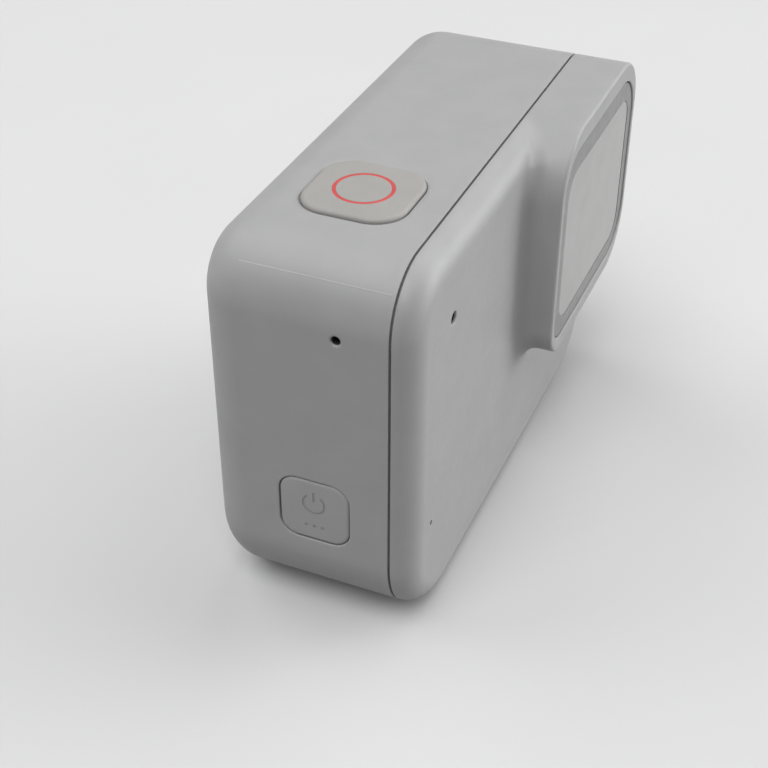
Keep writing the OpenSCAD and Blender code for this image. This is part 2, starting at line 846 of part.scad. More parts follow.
module side_microphone() color(metal) difference() {
    x_plate(membrane_t - inner_w, membrane_t + mic_t - inner_w)
        round_rect(side_mic[0], side_mic[1], mic_w, mic_h, 0.3);
    x_rod(side_mic[0], side_mic[1], mic_port_r, -half_w, membrane_t + mic_port_depth - inner_w);
}

module front_mic_membrane() color(membrane_white)
    y_rod(front_mic[0], front_mic[1], front_membrane_r, front_inner, front_inner + membrane_t);

module front_microphone() color(metal) difference() {
    y_plate(front_inner + membrane_t, front_inner + membrane_t + mic_t)
        round_rect(front_mic[0], front_mic[1], mic_w, mic_h, 0.3);
    y_rod(front_mic[0], front_mic[1], mic_port_r, front_y, front_inner + membrane_t + mic_port_depth);
}

module status_light() color([0.9, 0.9, 0.88]) {
    y_rod(light_at[0], light_at[1], light_r, front_y, front_inner + eps);
    y_rod(light_at[0], light_at[1], 2 * light_r, front_inner, front_inner + light_foot_t);
}

module wifi_antenna() color([0.72, 0.45, 0.20]) {
    z_plate(inner_top - aerial_t, inner_top) {
        outline(aerial_x[0], aerial_x[1], aerial_y[0], aerial_y[0] + aerial_w, 0.2, 0.2);
        outline(aerial_x[0], aerial_x[1], aerial_y[1] - aerial_w, aerial_y[1], 0.2, 0.2);
        outline(aerial_x[0], aerial_x[0] + aerial_w, aerial_y[0], aerial_y[1], 0.2, 0.2);
    }
}

// ---- shutter button ----

module shutter_cap() color(cap_beige) difference() {
    union() {
        z_plate(shutter_flange_top - eps, shutter_top) shutter_outline(0);
        z_plate(shutter_flange_top - cap_flange_t, shutter_flange_top) shutter_outline(cap_flange);
    }
    difference() {
        translate([shutter_x, shutter_y, shutter_top - ring_depth])
            cylinder(r = ring_r + ring_line / 2, h = ring_depth + past);
        translate([shutter_x, shutter_y, shutter_top - ring_depth - past])
            cylinder(r = ring_r - ring_line / 2, h = ring_depth + 3 * past);
    }
}

module shutter_ring() color(coral) difference() {
    translate([shutter_x, shutter_y, shutter_top - ring_depth])
        cylinder(r = ring_r + ring_line / 2, h = ring_depth);
    translate([shutter_x, shutter_y, shutter_top - ring_depth - past])
        cylinder(r = ring_r - ring_line / 2, h = ring_depth + 2 * past);
}

module shutter_plunger() color(metal) {
    top = shutter_flange_top - cap_flange_t;
    bottom = shelf_z + switch_t - plunger_depth;
    translate([shutter_x, shutter_y, bottom]) cylinder(r = plunger_r, h = top - bottom);
    translate([shutter_x, shutter_y, top - plunger_foot_t]) cylinder(r = 2 * plunger_r, h = plunger_foot_t);
}

module shutter_seal() color(rubber) difference() {
    z_plate(inner_top - seal_t, inner_top) shutter_outline(cap_gap + seal_w);
    z_plate(inner_top - past, inner_top + past) shutter_outline(cap_gap);
}

module shutter_switch() color(dark) difference() {
    z_plate(shelf_z, shelf_z + switch_t) round_rect(shutter_x, shutter_y, switch_w, switch_w, 0.4);
    translate([shutter_x, shutter_y, shelf_z + switch_t - shutter_well])
        cylinder(r = plunger_r + plunger_fit, h = shutter_well + past);
}

// ---- mode button ----

module mode_cap() color(case_grey) {
    x_plate(-half_w, mode_flange_face + eps) mode_outline(0);
    x_plate(mode_flange_face, mode_flange_face + cap_flange_t) mode_outline(cap_flange);
}

module mode_plunger() color(metal) {
    face = mode_flange_face + cap_flange_t;
    x_rod(mode_y, mode_z, plunger_r, face, mode_switch_x + plunger_depth);
    x_rod(mode_y, mode_z, 1.6 * plunger_r, face, face + plunger_foot_t / 2);
}

module mode_seal() color(rubber) difference() {
    x_plate(-inner_w, seal_t - inner_w) mode_outline(cap_gap + seal_w);
    x_plate(-half_w, past - inner_w) mode_outline(cap_gap);
}

module mode_switch() color(dark) difference() {
    x_plate(mode_switch_x, mode_tab_x) round_rect(mode_y, mode_z, switch_w, switch_w, 0.4);
    x_rod(mode_y, mode_z, plunger_r + plunger_fit, mode_switch_x - past, mode_switch_x + mode_well);
}

// ---- port door ----

module side_door() color(case_grey) difference() {
    union() {
        x_plate(door_inner, half_w)
            outline(door_front, door_back, door_bottom, hinge_z, 0, door_r);
        y_rod(hinge_x, hinge_z, knuckle_r, door_front, door_back);
    }
    y_rod(hinge_x, hinge_z, bore_r, door_front - past, door_back + past);
    // recess for the thumb pad
    x_plate(latch_x[1] - pad_fit, half_w + past)
        outline(latch_y - pad_w / 2 - pad_fit, latch_y + pad_w / 2 + pad_fit, pad_z[0] - pad_fit,
            pad_z[1] + latch_travel + pad_fit, pad_r, pad_r);
    // channel for the bolt and its spring
    box([latch_x[0] - latch_fit, latch_y - latch_w / 2 - latch_fit, door_bottom - past],
        [latch_x[1] + latch_fit, latch_y + latch_w / 2 + latch_fit, spring_z + spring_h]);
}

module door_seal() color(rubber) difference() {
    x_plate(door_inner - seal_plug, door_inner)
        outline(bay[0] + seal_clear, bay[1] - seal_clear, bay[2] + seal_clear, bay[3] - seal_clear, 1, 1);
    x_plate(door_inner - seal_plug - past, door_inner + past)
        outline(bay[0] + seal_in, bay[1] - seal_in, bay[2] + seal_in, bay[3] - seal_in, 0.6, 0.6);
}

module hinge_pin() color(metal)
    y_rod(hinge_x, hinge_z, pin_r, door_front - pin_over + pin_fit, door_back + pin_over - pin_fit);

module door_latch() color(soft_grey) {
    box([latch_x[0], latch_y - latch_w / 2, latch_tip], [latch_x[1], latch_y + latch_w / 2, latch_top]);
    x_plate(latch_x[1] - eps, pad_face)
        outline(latch_y - pad_w / 2, latch_y + pad_w / 2, pad_z[0], pad_z[1], pad_r, pad_r);
    // grip ribs on the pad
    for (i = [0 : ribs - 1]) {
        z = pad_z[0] + pad_r + i * rib_pitch;
        box([pad_face - eps, latch_y - rib_w / 2, z], [half_w - 0.08, latch_y + rib_w / 2, z + rib_h]);
    }
}

// Zigzag wire spring at its closed length, above the latch
module latch_spring() color(metal) {
    w = latch_w / 2;
    step = spring_h / 3;
    x0 = latch_x[0];
    x1 = x0 + spring_wire;
    for (i = [0 : 2]) {
        z = spring_z + i * step;
        box([x0, latch_y - w, z], [x1, latch_y + w, z + spring_coil]);
    }
    for (i = [0 : 1]) {
        y = latch_y + (i == 0 ? w - spring_coil : -w);
        z = spring_z + i * step;
        box([x0, y, z], [x1, y + spring_coil, z + step + spring_coil / 2]);
    }
    box([x0, latch_y - spring_wire, spring_z + 2 * step], [x1, latch_y + spring_wire, spring_z + spring_h]);
}

// ---- ports ----

// Outline of the data socket, drawn in by an inset
module usb_outline(inset) {
    r = usb_t / 2 - socket_fit - max(inset, 0);
    round_rect(usb_y, port_z, usb_t - 2 * inset, usb_w - 2 * inset, r);
}

module port_frame() color(dark) difference() {
    union() {
        x_plate(bay_floor - bay_floor_t, inner_w)
            outline(bay[0] - bay_t, bay[1] + bay_t, bay[2] - bay_t, bay[3] + bay_t, 1, 1);
        x_plate(inner_w - rim_t, inner_w) outline(rim_y[0], rim_y[1], rim_z[0], rim_z[1], rim_r, rim_r);
    }
    x_plate(bay_floor, inner_w + past) outline(bay[0], bay[1], bay[2], bay[3], bay_r, bay_r);
    y_rod(hinge_x, hinge_z, knuckle_r + door_gap, door_front - door_gap, door_back + door_gap);
    x_plate(bay_floor - bay_floor_t - past, bay_floor + past) {
        usb_outline(-socket_fit);
        round_rect(card_y, port_z, card_t + 2 * socket_fit, card_w + 2 * socket_fit, 0.2);
    }
}

module usb_socket() color(metal) difference() {
    x_plate(bay_floor - usb_len, bay_floor) usb_outline(0);
    x_plate(bay_floor - usb_len + usb_back_t, bay_floor + past) usb_outline(usb_wall);
}

module usb_tongue() color(dark)
    x_plate(bay_floor - usb_len + usb_back_t, bay_floor - tongue_back)
        round_rect(usb_y, port_z, tongue_plate[0], tongue_plate[1], 0.2);

module card_socket() color(metal) difference() {
    x_plate(bay_floor - card_len, bay_floor) round_rect(card_y, port_z, card_t, card_w, 0.15);
    x_plate(bay_floor - card_len + card_back_t, bay_floor + past)
        round_rect(card_y, port_z, slot_t, slot_w, 0.1);
}

rear_body();
front_cover();
seam_gasket();
lens_bezel();
lens_cover_glass();
lens_glass_seal();
lens_mask();
lens_barrel();
lens_front_element();
lens_middle_element();
lens_rear_element();
lens_holder();
infrared_filter();
image_sensor();
sensor_board();
sensor_pad();
mid_frame();
main_board();
main_chip();
chip_pad();
shield_can();
battery();
battery_tape();
battery_lead();
display_glass();
display_tape();
display_panel();
display_flex();
speaker();
speaker_mesh();
side_microphone();
side_mic_membrane();
front_microphone();
front_mic_membrane();
status_light();
wifi_antenna();
shutter_cap();
shutter_ring();
shutter_plunger();
shutter_seal();
shutter_switch();
mode_cap();
mode_plunger();
mode_seal();
mode_switch();
side_door();
door_seal();
hinge_pin();
door_latch();
latch_spring();
port_frame();
usb_socket();
usb_tongue();
card_socket();
frame_screws();
board_screws();
lens_screws();
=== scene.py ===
"""Looks of the action camera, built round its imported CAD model.

Lengths in this script are millimetres; SCALE turns them into Blender's metres as each
mesh is made. X runs along the width, the lens looks along -Y, and Z is up.
"""

import math

import bmesh
import bpy
import numpy as np
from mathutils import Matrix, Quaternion, Vector
from mathutils.geometry import delaunay_2d_cdt


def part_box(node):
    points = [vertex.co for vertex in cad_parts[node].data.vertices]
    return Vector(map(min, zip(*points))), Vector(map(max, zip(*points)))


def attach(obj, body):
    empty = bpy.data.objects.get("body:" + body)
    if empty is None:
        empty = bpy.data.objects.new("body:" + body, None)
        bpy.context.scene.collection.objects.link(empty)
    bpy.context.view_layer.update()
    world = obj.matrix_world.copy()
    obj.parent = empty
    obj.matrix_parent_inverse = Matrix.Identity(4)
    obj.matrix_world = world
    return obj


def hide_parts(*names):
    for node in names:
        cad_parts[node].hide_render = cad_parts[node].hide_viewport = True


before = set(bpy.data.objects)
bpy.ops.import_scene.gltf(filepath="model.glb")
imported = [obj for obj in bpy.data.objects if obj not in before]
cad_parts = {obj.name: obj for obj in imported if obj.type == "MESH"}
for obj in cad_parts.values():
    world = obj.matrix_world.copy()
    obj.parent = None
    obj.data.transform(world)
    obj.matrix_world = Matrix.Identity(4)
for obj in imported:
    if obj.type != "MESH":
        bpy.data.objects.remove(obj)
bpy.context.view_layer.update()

SCALE = 0.001


def span(node):
    """Lowest and highest corners of a CAD node, in millimetres."""
    low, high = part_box(node)
    return np.array(low) / SCALE, np.array(high) / SCALE


def middle(node):
    low, high = span(node)
    return (low + high) / 2


def half_size(node):
    low, high = span(node)
    return (high - low) / 2


def outline(node, grow=0.0):
    """Low X, high X, low Z and high Z of a CAD node's box, moved out by grow."""
    low, high = span(node)
    return low[0] - grow, high[0] + grow, low[2] - grow, high[2] + grow


# ---- sizes worked out from the frame ----

HALF_W, BACK_Y, CASE_H = span("rear_body")[1]
BLOCK_Y = span("front_cover")[0][1]
FRONT_Y = span("status_light")[0][1]
SEAM_FRONT, SEAM_BACK = span("seam_gasket")[0][1], span("seam_gasket")[1][1]
BEZEL_LOW, BEZEL_HIGH = span("lens_bezel")
GLASS_BACK = span("lens_cover_glass")[1][1]
CAP_LOW, CAP_HIGH = span("shutter_cap")
MODE_LOW, MODE_HIGH = span("mode_cap")
DOOR_LOW, DOOR_HIGH = span("side_door")
LATCH_LOW, LATCH_HIGH = span("door_latch")
SCREEN_FRONT = span("display_glass")[0][1]
PIN_X, _, PIN_Z = middle("hinge_pin")
CAP_X, CAP_Y, _ = middle("shutter_cap")
_, MODE_Y, MODE_Z = middle("mode_cap")
LATCH_Y = middle("door_latch")[1]
SIDE_MIC = middle("side_microphone")
FRONT_MIC = middle("front_microphone")
LAMP = middle("status_light")

# case
WALL = 1.7
BACK_WALL = 2.0
TOP_R = 7.0
BOTTOM_R = 9.6
FRONT_EDGE_R = (SEAM_FRONT + SEAM_BACK) / 2 - FRONT_Y
BACK_EDGE_R = 4.8
EDGE = 0.08  # radius of the small edges at the seam and the openings
MARGIN = 0.15  # flat strip beside an edge, which keeps a plate evenly shaded
LINE_ANGLE = 47.5  # degrees round the top rounding at which the moulding line runs

# lens block and window
BEZEL_GAP = 0.12
GLASS_GAP = 0.02
RIM_LEFT, RIM_BOTTOM = 1.01, 1.87
OPENING = outline("lens_bezel", BEZEL_GAP)
OPENING_RADII = (5.8, 4.6, 3.2, 5.5)
OPENING_LIP = 0.18
BLOCK = (OPENING[0] - RIM_LEFT, HALF_W, OPENING[2] - RIM_BOTTOM, CASE_H)
BLOCK_RADII = (7.0, 7.0, 4.4, 7.0)
BLOCK_EDGE_R = 0.35
BEZEL_RADII = [r - BEZEL_GAP for r in OPENING_RADII]
BEZEL_EDGE_R = 0.15
GLASS_R, GLASS_EDGE_R, GLASS_BED = 3.0, 0.05, 0.15
FILLET_R = 2.2
LEDGE, BEZEL_LEDGE = 1.3, 1.0  # how far each frame reaches in behind what it holds
RIM_DEPTH = 1.1  # the block's rim is built from rings down to here, and netted below
FRONT_WALL = 1.5
CAVITY = (BLOCK[0] + 2, HALF_W - WALL - 0.3, BLOCK[2] + 1.9, CASE_H - WALL - 0.3)
CAVITY_R = 4.4

# buttons, with the flanges that hold them in
FLANGE, FLANGE_THICK = 0.8, 0.6
CAP_HALF = half_size("shutter_cap")[0] - FLANGE
CAP_R, CAP_EDGE_R, CAP_FLANGE_R = 3.5, 0.42, 4.3
CAP_CROWN = 0.05  # rise of the cap's middle over its edge
RING_LINE, RING_DEPTH = 0.4, 0.12
CAP_GAP, CAP_HOLE_R, CAP_HOLE_LIP = 0.13, 3.6, (0.7, 0.2)
MODE_HALF = half_size("mode_cap")[1] - FLANGE
MODE_R, MODE_EDGE_R, MODE_FLANGE_R = 2.0, 0.4, 2.8
MODE_GAP, MODE_HOLE_R, MODE_HOLE_LIP = 0.09, 2.2, (0.16, 0.1)

# small holes
SIDE_MIC_R, SIDE_MIC_LIP = 0.52, (0.24, 0.2)
FRONT_MIC_R, FRONT_MIC_LIP = 0.68, 0.2
LAMP_R, LAMP_LIP = 0.32, 0.06
SLOT_PITCH, SLOT_HALF_W, SLOT_HALF_L, SLOT_R = 2.4, 0.5, 1.5, 0.49

# door and latch
DOOR_GAP, DOOR_HOLE_TOP_R = 0.25, 0.3
DOOR_TOP_R, DOOR_LOW_R, DOOR_EDGE_R = 0.35, 2.0, 0.22
DOOR_THICK = 1.6
NOTCH_HALF, NOTCH_FLOOR, NOTCH_R = 1.2, 9.9, 0.3
THUMB_HALF, THUMB_LOW, THUMB_HIGH, THUMB_R = 1.7, 12.2, 15.9, 0.5
THUMB_DEPTH, THUMB_EDGE_R = 0.72, 0.12
PAD_LOW, PAD_HIGH = 12.3, 14.9
PAD_R, PAD_EDGE_R, PAD_SUNK = 0.4, 0.12, 0.25

# display
SCREEN_R, SCREEN_GAP, SCREEN_EDGE_R, SCREEN_BED = 2.5, 0.15, 0.3, 0.2
PANEL_R, PANEL_GAP = 1.0, 0.3

# fineness of the meshes
ARC = 18
SMALL_RING = 28
NET_STEP = 0.3
SHARP = math.radians(35)
WELD, SLIVER = 0.004, 0.0005
STRIP = 0.1  # strip that joins the net to the rings beside it


# ---- outlines and meshes ----

def loop(x0, x1, z0, z1, radii, arc=ARC, side=1):
    """Rounded rectangle as an anticlockwise ring of points. Radii are one number, or four:
    top right, top left, bottom left, bottom right. Each corner has arc segments, and each
    straight side has side segments."""
    a, b, c, d = radii if isinstance(radii, (tuple, list)) else (radii,) * 4
    corners = ((x1 - a, z1 - a, a), (x0 + b, z1 - b, b), (x0 + c, z0 + c, c), (x1 - d, z0 + d, d))
    points = []
    for k, (cx, cz, r) in enumerate(corners):
        turn = [math.radians(90 * (k + i / arc)) for i in range(arc + 1)]
        points += [(cx + r * math.cos(t), cz + r * math.sin(t)) for t in turn]
        nx, nz, nr = corners[(k + 1) % 4]
        start = np.array(points[-1])
        t = math.radians(90 * (k + 1))
        end = np.array((nx + nr * math.cos(t), nz + nr * math.sin(t)))
        points += [tuple(start + (end - start) * i / side) for i in range(1, side)]
    return np.array(points)


def grown(box, radii, grow=0.0, **more):
    """Ring round a flat box (low, high, low, high), moved out by grow."""
    x0, x1, z0, z1 = box
    radii = radii if isinstance(radii, (tuple, list)) else (radii,) * 4
    radii = [max(r + grow, 0.05) for r in radii]
    return loop(x0 - grow, x1 + grow, z0 - grow, z1 + grow, radii, **more)


def square(cx, cz, half, radius):
    return loop(cx - half, cx + half, cz - half, cz + half, radius)


def case_loop(inset, **more):
    radii = (TOP_R - inset, TOP_R - inset, BOTTOM_R - inset, BOTTOM_R - inset)
    return loop(-HALF_W + inset, HALF_W - inset, inset, CASE_H - inset, radii, **more)


def circle(cx, cz, r, count=4 * (ARC + 1)):
    """Circle with as many points as a rounded rectangle's ring, starting where it does."""
    turn = np.linspace(0, 2 * math.pi, count, endpoint=False)
    return np.stack([cx + r * np.cos(turn), cz + r * np.sin(turn)], 1)


def at_y(ring, y):
    """Ring in X and Z, placed at y."""
    return np.stack([ring[:, 0], np.full(len(ring), float(y)), ring[:, 1]], 1)


def at_x(ring, x):
    """Ring in Y and Z, placed at x."""
    return np.stack([np.full(len(ring), float(x)), ring[:, 0], ring[:, 1]], 1)


def at_z(ring, z):
    """Ring in X and Y, placed at z."""
    return np.stack([ring[:, 0], ring[:, 1], np.full(len(ring), float(z))], 1)


def swapped(ring):
    return ring[:, ::-1]


def rounding(radius, steps):
    """(inset, depth) pairs round an edge, from the flat face to the side wall."""
    turns = [math.radians(90 * i / steps) for i in range(steps + 1)]
    return [(radius * (1 - math.sin(a)), radius * (1 - math.cos(a))) for a in turns]


class Skin:
    """Collects rings and plates, then makes one mesh object of them."""

    def __init__(self):
        self.points = []
        self.faces = []

    def add(self, points, faces):
        base = len(self.points)
        self.points += [tuple(p) for p in points]
        self.faces += [tuple(base + i for i in f) for f in faces]

    def loft(self, rings, cap_start=False, cap_end=False):
        """Quads between rings of equal length, in order."""
        n = len(rings[0])
        faces = []
        for k in range(len(rings) - 1):
            a, b = k * n, (k + 1) * n
            faces += [(a + i, a + (i + 1) % n, b + (i + 1) % n, b + i) for i in range(n)]
        if cap_start:
            faces.append(tuple(range(n)))
        if cap_end:
            faces.append(tuple(range((len(rings) - 1) * n, len(rings) * n)))
        self.add(np.concatenate(rings), faces)

    def plate(self, outer, holes, place):
        """Flat plate between an outer ring and hole rings, put in space by place."""
        rings = [outer] + list(holes)
        points = [Vector(p) for ring in rings for p in ring]
        edges = []
        base = 0
        for ring in rings:
            edges += [(base + i, base + (i + 1) % len(ring)) for i in range(len(ring))]
            base += len(ring)
        out, _, faces, _, _, _ = delaunay_2d_cdt(points, edges, [], 1, 1e-6)
        flat = np.array([(p.x, p.y) for p in out])
        kept = []
        for face in faces:
            centre = flat[list(face)].mean(0)
            if within(centre, outer) and not any(within(centre, h) for h in holes):
                kept.append(face)
        self.add(place(flat), kept)

    def mesh(self, name):
        made = bpy.data.meshes.new(name)
        made.from_pydata([tuple(np.array(p) * SCALE) for p in self.points], [], self.faces)
        return made

    def make(self, name, material, body, replaces):
        finish_mesh(self.mesh(name), material, body, replaces)


def lofted_piece(name, rings, material, body, replaces, capped=False):
    """Piece made of one loft, with both its ends closed or neither."""
    skin = Skin()
    skin.loft(rings, capped, capped)
    skin.make(name, material, body, replaces)


def within(point, ring):
    """Whether a point lies inside a ring."""
    x, z = point
    a = ring
    b = np.roll(ring, -1, 0)
    crosses = (a[:, 1] > z) != (b[:, 1] > z)
    rise = np.where(np.abs(b[:, 1] - a[:, 1]) < 1e-12, 1e-12, b[:, 1] - a[:, 1])
    where = a[:, 0] + (z - a[:, 1]) * (b[:, 0] - a[:, 0]) / rise
    return bool(np.count_nonzero(crosses & (x < where)) % 2)


def add_object(name, data):
    made = bpy.data.objects.new(name, data)
    bpy.context.scene.collection.objects.link(made)
    return made


def finish_mesh(mesh, material, body, replaces):
    """Welds a mesh, shades it smooth except at sharp edges, and attaches it."""
    shape = bmesh.new()
    shape.from_mesh(mesh)
    bmesh.ops.remove_doubles(shape, verts=shape.verts, dist=WELD * SCALE)
    bmesh.ops.dissolve_degenerate(shape, dist=SLIVER * SCALE, edges=shape.edges)
    bmesh.ops.recalc_face_normals(shape, faces=shape.faces)
    for face in shape.faces:
        face.smooth = True
    for edge in shape.edges:
        edge.smooth = len(edge.link_faces) == 2 and edge.calc_face_angle(0) < SHARP
    shape.to_mesh(mesh)
    shape.free()
    piece = add_object(mesh.name, mesh)
    mesh.materials.append(material)
    weigh = piece.modifiers.new("even_normals", "WEIGHTED_NORMAL")
    weigh.keep_sharp = True
    weigh.weight = 60
    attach(piece, body)
    if replaces:
        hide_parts(*replaces)


# ---- materials ----

def new_material(name):
    """Node material: returns it with its tree, its shader and a coordinate output."""
    material = bpy.data.materials.new(name)
    material.use_nodes = True
    tree = material.node_tree
    shader = tree.nodes["Principled BSDF"]
    place = tree.nodes.new("ShaderNodeTexCoord").outputs["Object"]
    return material, tree, shader, place


def preset(node, values):
    """Gives a node's inputs their values, by name."""
    for name, value in values.items():
        node.inputs[name].default_value = value


def noise(tree, place, scale, detail=3.0):
    node = tree.nodes.new("ShaderNodeTexNoise")
    preset(node, {"Scale": scale, "Detail": detail, "Roughness": 0.55})
    tree.links.new(place, node.inputs["Vector"])
    return node.outputs["Fac"]


def remap(tree, value, low, high, over=(0.3, 0.7)):
    """Value that runs from low to high while the input runs over a range."""
    node = tree.nodes.new("ShaderNodeMapRange")
    preset(node, {"From Min": over[0], "From Max": over[1], "To Min": low, "To Max": high})
    tree.links.new(value, node.inputs["Value"])
    return node.outputs["Result"]


def arithmetic(tree, operation, first, second=None):
    """Math node; the second input is a number, another output, or left alone."""
    node = tree.nodes.new("ShaderNodeMath")
    node.operation = operation
    tree.links.new(first, node.inputs[0])
    if isinstance(second, float):
        node.inputs[1].default_value = second
    elif second is not None:
        tree.links.new(second, node.inputs[1])
    return node.outputs[0]


def mottled(tree, value, dark, light):
    """Colour that wanders between two shades."""
    ramp = tree.nodes.new("ShaderNodeValToRGB")
    for element, colour, position in zip(ramp.color_ramp.elements, (dark, light), (0.3, 0.7)):
        element.color = (*colour, 1)
        element.position = position
    tree.links.new(value, ramp.inputs["Fac"])
    return ramp.outputs["Color"]


def bump(tree, shader, value, depth):
    """Relief of a height field, depth in millimetres."""
    node = tree.nodes.new("ShaderNodeBump")
    preset(node, {"Strength": 1.0, "Distance": depth * SCALE})
    tree.links.new(value, node.inputs["Height"])
    tree.links.new(node.outputs["Normal"], shader.inputs["Normal"])


def uneven(tree, shader, value, low, high):
    """Roughness that wanders between two values."""
    tree.links.new(remap(tree, value, low, high), shader.inputs["Roughness"])


def coat(shader, weight, rough):
    preset(shader, {"Coat Weight": weight, "Coat Roughness": rough})


def moulded(name, colour, rough=0.5, grain=0.004, vary=0.03):
    """Moulded plastic or rubber: fine grain, faint mottling, uneven roughness."""
    material, tree, shader, place = new_material(name)
    base = np.array(colour)
    shade = mottled(tree, noise(tree, place, 220, 4.0), base * (1 - vary), base * (1 + vary))
    tree.links.new(shade, shader.inputs["Base Color"])
    uneven(tree, shader, noise(tree, place, 900), rough - 0.04, rough + 0.05)
    bump(tree, shader, noise(tree, place, 9000, 2.0), grain)
    return material


def metallic(name, colour, rough=0.35, brushed=False):
    """Bare metal, blasted or brushed."""
    material, tree, shader, place = new_material(name)
    shader.inputs["Metallic"].default_value = 1.0
    stretch = tree.nodes.new("ShaderNodeMapping")
    stretch.inputs["Scale"].default_value = (1, 1, 14) if brushed else (1, 1, 1)
    tree.links.new(place, stretch.inputs["Vector"])
    grain = noise(tree, stretch.outputs["Vector"], 3500)
    base = np.array(colour)
    tree.links.new(mottled(tree, grain, base * 0.93, base * 1.04), shader.inputs["Base Color"])
    uneven(tree, shader, grain, rough - 0.06, rough + 0.08)
    bump(tree, shader, grain, 0.003)
    return material


def coated_window():
    """Cover glass: clear from in front, and hazy with reflected light at a low angle."""
    material, tree, shader, place = new_material("window_glass")
    shader.inputs["Base Color"].default_value = (0.28, 0.278, 0.273, 1)
    coat(shader, 0.5, 0.02)
    uneven(tree, shader, noise(tree, place, 260), 0.30, 0.36)
    angle = tree.nodes.new("ShaderNodeLayerWeight")
    angle.inputs["Blend"].default_value = 0.5
    alpha = remap(tree, angle.outputs["Facing"], 0.05, 1.0, (0.42, 0.66))
    tree.links.new(alpha, shader.inputs["Alpha"])
    return material


def coated_lens():
    """Dark optical glass with a faint violet coating, as it looks over a black barrel."""
    material, tree, shader, place = new_material("lens_glass")
    film = mottled(tree, noise(tree, place, 180, 2.0), (0.030, 0.028, 0.040), (0.042, 0.036, 0.058))
    tree.links.new(film, shader.inputs["Base Color"])
    uneven(tree, shader, noise(tree, place, 260), 0.02, 0.06)
    coat(shader, 1.0, 0.02)
    return material


def switched_off_screen():
    """Display behind glass: a black border round a slightly lighter panel."""
    material, tree, shader, place = new_material("screen")
    split = tree.nodes.new("ShaderNodeSeparateXYZ")
    tree.links.new(place, split.inputs["Vector"])
    border = 0.6
    half = (half_size("display_panel") - border) * SCALE
    centre = middle("display_panel") * SCALE
    masks = []
    for k, axis in ((0, "X"), (2, "Z")):
        away = arithmetic(tree, "SUBTRACT", split.outputs[axis], float(centre[k]))
        reach = arithmetic(tree, "ABSOLUTE", away)
        masks.append(arithmetic(tree, "LESS_THAN", reach, float(half[k])))
    mix = tree.nodes.new("ShaderNodeMix")
    mix.data_type = "RGBA"
    preset(mix, {"A": (0.006, 0.006, 0.007, 1), "B": (0.016, 0.017, 0.020, 1)})
    tree.links.new(arithmetic(tree, "MULTIPLY", *masks), mix.inputs["Factor"])
    tree.links.new(mix.outputs["Result"], shader.inputs["Base Color"])
    uneven(tree, shader, noise(tree, place, 300, 4.0), 0.04, 0.11)
    coat(shader, 0.6, 0.03)
    return material


case_plastic = moulded("case_plastic", (0.375, 0.375, 0.377), rough=0.48)
bezel_plastic = moulded("bezel_plastic", (0.19, 0.19, 0.192), rough=0.32, grain=0.001)
# lighter than the case plastic: a painted highlight along the moulding line
painted_highlight_plastic = moulded("painted_highlight_plastic", (0.43, 0.43, 0.432), rough=0.4, vary=0.12)
mask_plastic = moulded("mask_plastic", (0.05, 0.05, 0.052), rough=0.4, grain=0.001)
silicone = moulded("silicone", (0.345, 0.338, 0.324), rough=0.6, grain=0.006)
ring_red = moulded("ring_red", (0.60, 0.09, 0.085), rough=0.4, grain=0.002, vary=0.06)
black_plastic = moulded("black_plastic", (0.022, 0.022, 0.024), rough=0.4)
seal_rubber = moulded("seal_rubber", (0.03, 0.03, 0.032), rough=0.7, grain=0.008)
gasket_grey = moulded("gasket_grey", (0.26, 0.26, 0.265), rough=0.7, grain=0.008)
mark_grey = moulded("mark_grey", (0.29, 0.29, 0.292), rough=0.5, grain=0.002)
pad_blue = moulded("pad_blue", (0.30, 0.38, 0.52), rough=0.7, grain=0.01)
board_green = moulded("board_green", (0.012, 0.09, 0.05), rough=0.35, vary=0.2)
flex_amber = moulded("flex_amber", (0.50, 0.22, 0.03), rough=0.35, vary=0.1)
wire_red = moulded("wire_red", (0.42, 0.02, 0.015), rough=0.35)
wrap_grey = moulded("wrap_grey", (0.09, 0.10, 0.12), rough=0.35, vary=0.12)
vent_mesh = moulded("vent_mesh", (0.03, 0.03, 0.03), rough=0.8, grain=0.01)
light_window = moulded("light_window", (0.10, 0.10, 0.10), rough=0.25, grain=0.001)
steel = metallic("steel", (0.60, 0.60, 0.61), brushed=True)
aluminium = metallic("aluminium", (0.70, 0.71, 0.73), rough=0.42)
copper = metallic("copper", (0.75, 0.42, 0.22), rough=0.35)
sensor_die = metallic("sensor_die", (0.20, 0.18, 0.30), rough=0.15)
window_glass = coated_window()
lens_glass = coated_lens()
screen = switched_off_screen()


# ---- rear body ----

def lip(skin, ring_at, place, depth, width, drop):
    """Wall of a hole: a rounded lip, width wide and drop deep, then straight in to a depth.
    ring_at(grow) gives the hole's ring, and place(ring, depth) puts it in space. A flat
    strip outside the lip keeps the plate round it evenly shaded."""
    rings = [place(ring_at(width + MARGIN), 0)]
    rings += [place(ring_at(width * i), drop * d) for i, d in rounding(1, 6)]
    rings.append(place(ring_at(0), depth))
    skin.loft(rings)


def build_side(skin, side, front, back, inner_start):
    """Outer and inner faces of one flat side, joined by the walls of its holes. A side is how
    to place a ring, its ends along its length, and its holes: (ring, lip width, lip depth)."""
    place, low, high, holes = side
    for depth, lips, y0, y1 in ((0.0, 1, front, back), (WALL, 0, SEAM_BACK, inner_start)):
        outer = ((low, y0), (high, y0), (high, y1), (low, y1))
        rings = [ring((width + MARGIN) * lips) for ring, width, _ in holes]
        skin.plate(np.array(outer), rings, lambda flat, d=depth: place(flat, d))
    for ring, width, drop in holes:
        lip(skin, ring, place, WALL, width, drop)


def cap_hole(grow):
    return square(CAP_X, CAP_Y, CAP_HALF + CAP_GAP + grow, CAP_HOLE_R + grow)


def mode_hole(grow):
    """Mode button's opening, as a ring in Z and Y."""
    return square(MODE_Z, MODE_Y, MODE_HALF + MODE_GAP + grow, MODE_HOLE_R + grow)


